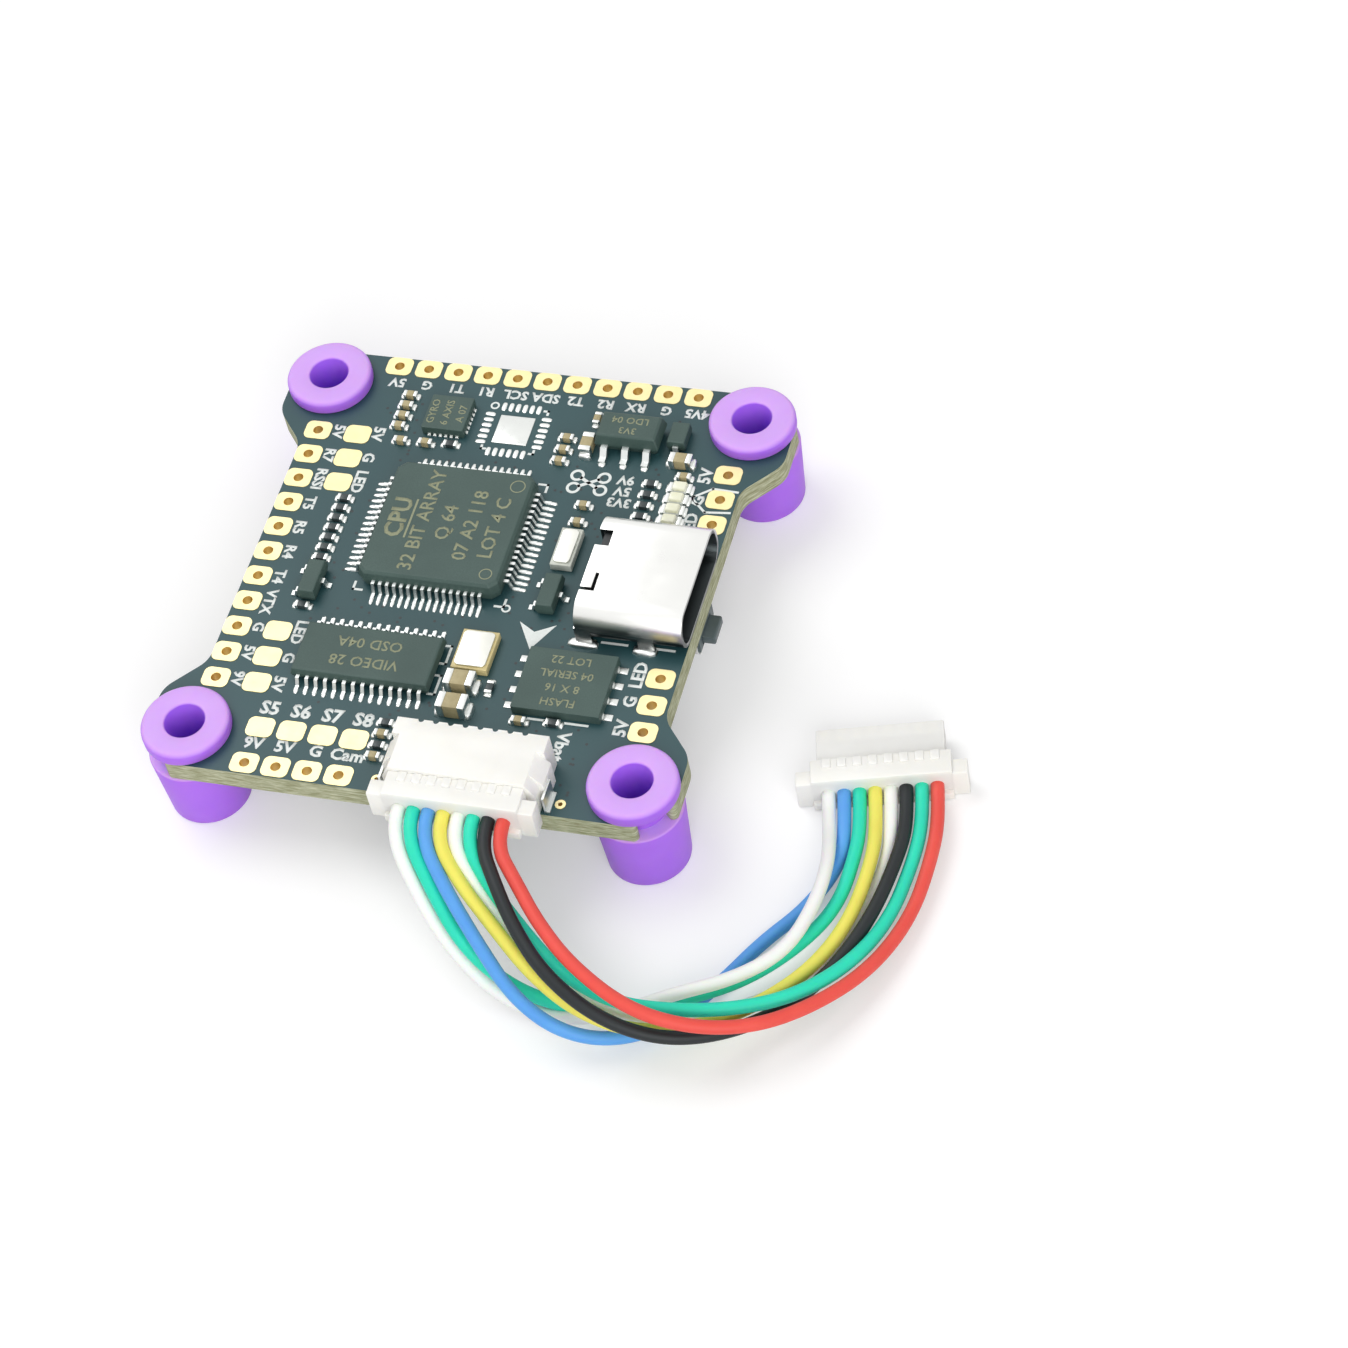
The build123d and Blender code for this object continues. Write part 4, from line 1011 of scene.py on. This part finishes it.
def print_legend():
    """All the white ink on the board, as one thin piece."""
    front_arrow = [(5.39, -5.44), (6.62, -3.25), (5.29, -3.99), (4.09, -3.29)]
    first_pin_dots = ((-3.05, 14.73), (2.85, -2.39))
    shapes = [letters(*word, INK_FOOT, FILM) for word in WORDS]
    shapes += [line(*stroke, 0.17, INK_FOOT, FILM) for stroke in STROKES + processor_corners()]
    shapes += [ring(*spot, 0.26, 0.13, INK_FOOT, FILM) for spot in first_pin_dots]
    shapes += [slab(front_arrow, INK_FOOT, FILM)]
    shapes += pictogram(5.36, 8.9)
    points, faces = join(shapes)
    tidy(make("board_legend", points, faces, INK, "board", 30.0))


print_legend()


def chip_marks():
    """Plain generic words on the chips, each line placed from its package's own box."""
    film, sunk = 0.008, 0.001
    shapes = []
    for node, turn, cap, words in (
            ("processor_body", 90, 1.0, ("CPU", "32 BIT ARRAY", "Q 64", "07 A2 118", "LOT 4 C")),
            ("video_chip_body", 180, 0.8, ("VIDEO 28", "OSD 04A")),
            ("flash_chip_body", 180, 0.6, ("FLASH", "8 X 16", "04 SERIAL", "LOT 22")),
            ("gyro_body", 90, 0.55, ("GYRO", "6 AXIS", "A 07")),
            ("regulator_body", 180, 0.55, ("3V3", "LDO 04"))):
        low, high = box_of(node)
        middle = (low + high) / 2
        axis = 0 if turn == 90 else 1
        space = (high - low)[axis] * (0.68 if len(words) > 2 else 0.36)
        steps = np.linspace(-space / 2, space / 2, len(words))
        for word, step in zip(words, steps):
            spot = middle[:2].copy()
            spot[axis] += step
            size, bold = (1.25 * cap, 0.03) if word == "CPU" else (cap, 0.012)
            shapes.append(letters(word, *spot, turn, size, high[2] - sunk, film, bold))
    low, high = box_of("processor_body")
    underline = (low[0] + high[0]) / 2 - (high[0] - low[0]) * 0.34 + 0.85
    middle = (low[1] + high[1]) / 2
    shapes.append(line(underline, middle - 1.6, underline, middle + 1.6, 0.14, high[2] - sunk, film))
    for x, y, radius in ((high[0] - 1.1, low[1] + 1.1, 0.42), (high[0] - 1.1, high[1] - 1.3, 0.5)):
        shapes.append(ring(x, y, radius, 0.07, high[2] - sunk, film))
    points, faces = join(shapes)
    tidy(make("chip_marks", points, faces, LASER, "board", 30.0))


chip_marks()


def tented_vias():
    """Small sunk vias scattered over the free laminate, clear of every part, word and empty pad."""
    clear_of_parts, clear_of_words, clear_of_footprint = 0.3, 1.3, 2.8
    tried, kept, radius = 420, 95, 0.11
    keep_out = []
    for node in frame["nodes"]:
        if BODY_OF[node] == "board" and node != "circuit_board":
            keep_out += [pair for pair in solids_of(node) if pair[1][2] > BOARD_TOP]
    low = np.array([pair[0][:2] for pair in keep_out]) - clear_of_parts
    high = np.array([pair[1][:2] for pair in keep_out]) + clear_of_parts
    words = np.array([(x, y) for _, x, y, _, _ in WORDS])
    draw = np.random.default_rng(12)
    spots = draw.uniform((-11.0, -16.6), (12.0, 15.2), (tried, 2))
    free = ~((spots[:, None] > low) & (spots[:, None] < high)).all(axis=2).any(axis=1)
    free &= np.linalg.norm(spots[:, None] - words, axis=2).min(axis=1) > clear_of_words
    free &= np.abs(spots - FOOTPRINT).max(axis=1) > clear_of_footprint
    angle = np.linspace(0, 2 * math.pi, 10, endpoint=False)
    disc = np.column_stack([radius * np.cos(angle), radius * np.sin(angle)])
    points, faces = join([slab(disc + spot, INK_FOOT, 0.006) for spot in spots[free][:kept]])
    make("tented_vias", points, faces, TENT, "board", 30.0)


tented_vias()


# ---- Studio ----
def seen_directly(tree):
    """One for a ray that comes from the camera, off a gloss or through glass, and nought for the rest."""
    path = add(tree, "LightPath")
    seen = path.outputs["Is Camera Ray"]
    for kind in ("Is Glossy Ray", "Is Transmission Ray"):
        seen = add(tree, "Math", {"operation": "MAXIMUM"}, {0: seen, 1: path.outputs[kind]}).outputs[0]
    return seen


def studio():
    """A white floor that keeps a soft shadow, a key lamp behind on the left, a fill lamp in front and an
    even world."""
    bpy.context.scene.view_settings.view_transform = "Standard"
    world = bpy.data.worlds.new("studio")
    bpy.context.scene.world = world
    world.use_nodes = True
    tree = world.node_tree
    tree.nodes.clear()
    strength = add(tree, "MapRange", inputs={"Value": seen_directly(tree), "To Min": 0.5, "To Max": 1.0})
    sky = add(tree, "Background", inputs={"Color": (1, 1, 1, 1), "Strength": strength.outputs[0]})
    output = add(tree, "OutputWorld")
    tree.links.new(sky.outputs[0], output.inputs["Surface"])

    material, tree, _ = blank("white_paper_floor")
    glow = add(tree, "Math", {"operation": "MULTIPLY"}, {0: seen_directly(tree), 1: 0.3})
    paper = add(tree, "BsdfDiffuse", inputs={"Color": (0.75, 0.75, 0.75, 1)})
    lift = add(tree, "Emission", inputs={"Color": (1, 1, 1, 1), "Strength": glow.outputs[0]})
    close(tree, add(tree, "AddShader", inputs={0: paper.outputs[0], 1: lift.outputs[0]}))
    mesh = bpy.data.meshes.new("floor")
    reach = 1.5
    mesh.from_pydata([(-reach, -reach, 0), (reach, -reach, 0), (reach, reach, 0), (-reach, reach, 0)], [],
                     [(0, 1, 2, 3)])
    mesh.materials.append(material)
    floor = bpy.data.objects.new("floor", mesh)
    bpy.context.scene.collection.objects.link(floor)

    for name, spot, size, power in (
            ("key", (-0.25, 0.1, 0.5), 0.35, 1.2), ("fill", (0.25, -0.45, 0.3), 0.4, 1.8)):
        data = bpy.data.lights.new(name, "AREA")
        data.size = size
        data.energy = power
        lamp = bpy.data.objects.new(name, data)
        lamp.location = spot
        lamp.rotation_euler = (-Vector(spot)).to_track_quat("-Z", "Y").to_euler()
        bpy.context.scene.collection.objects.link(lamp)


studio()
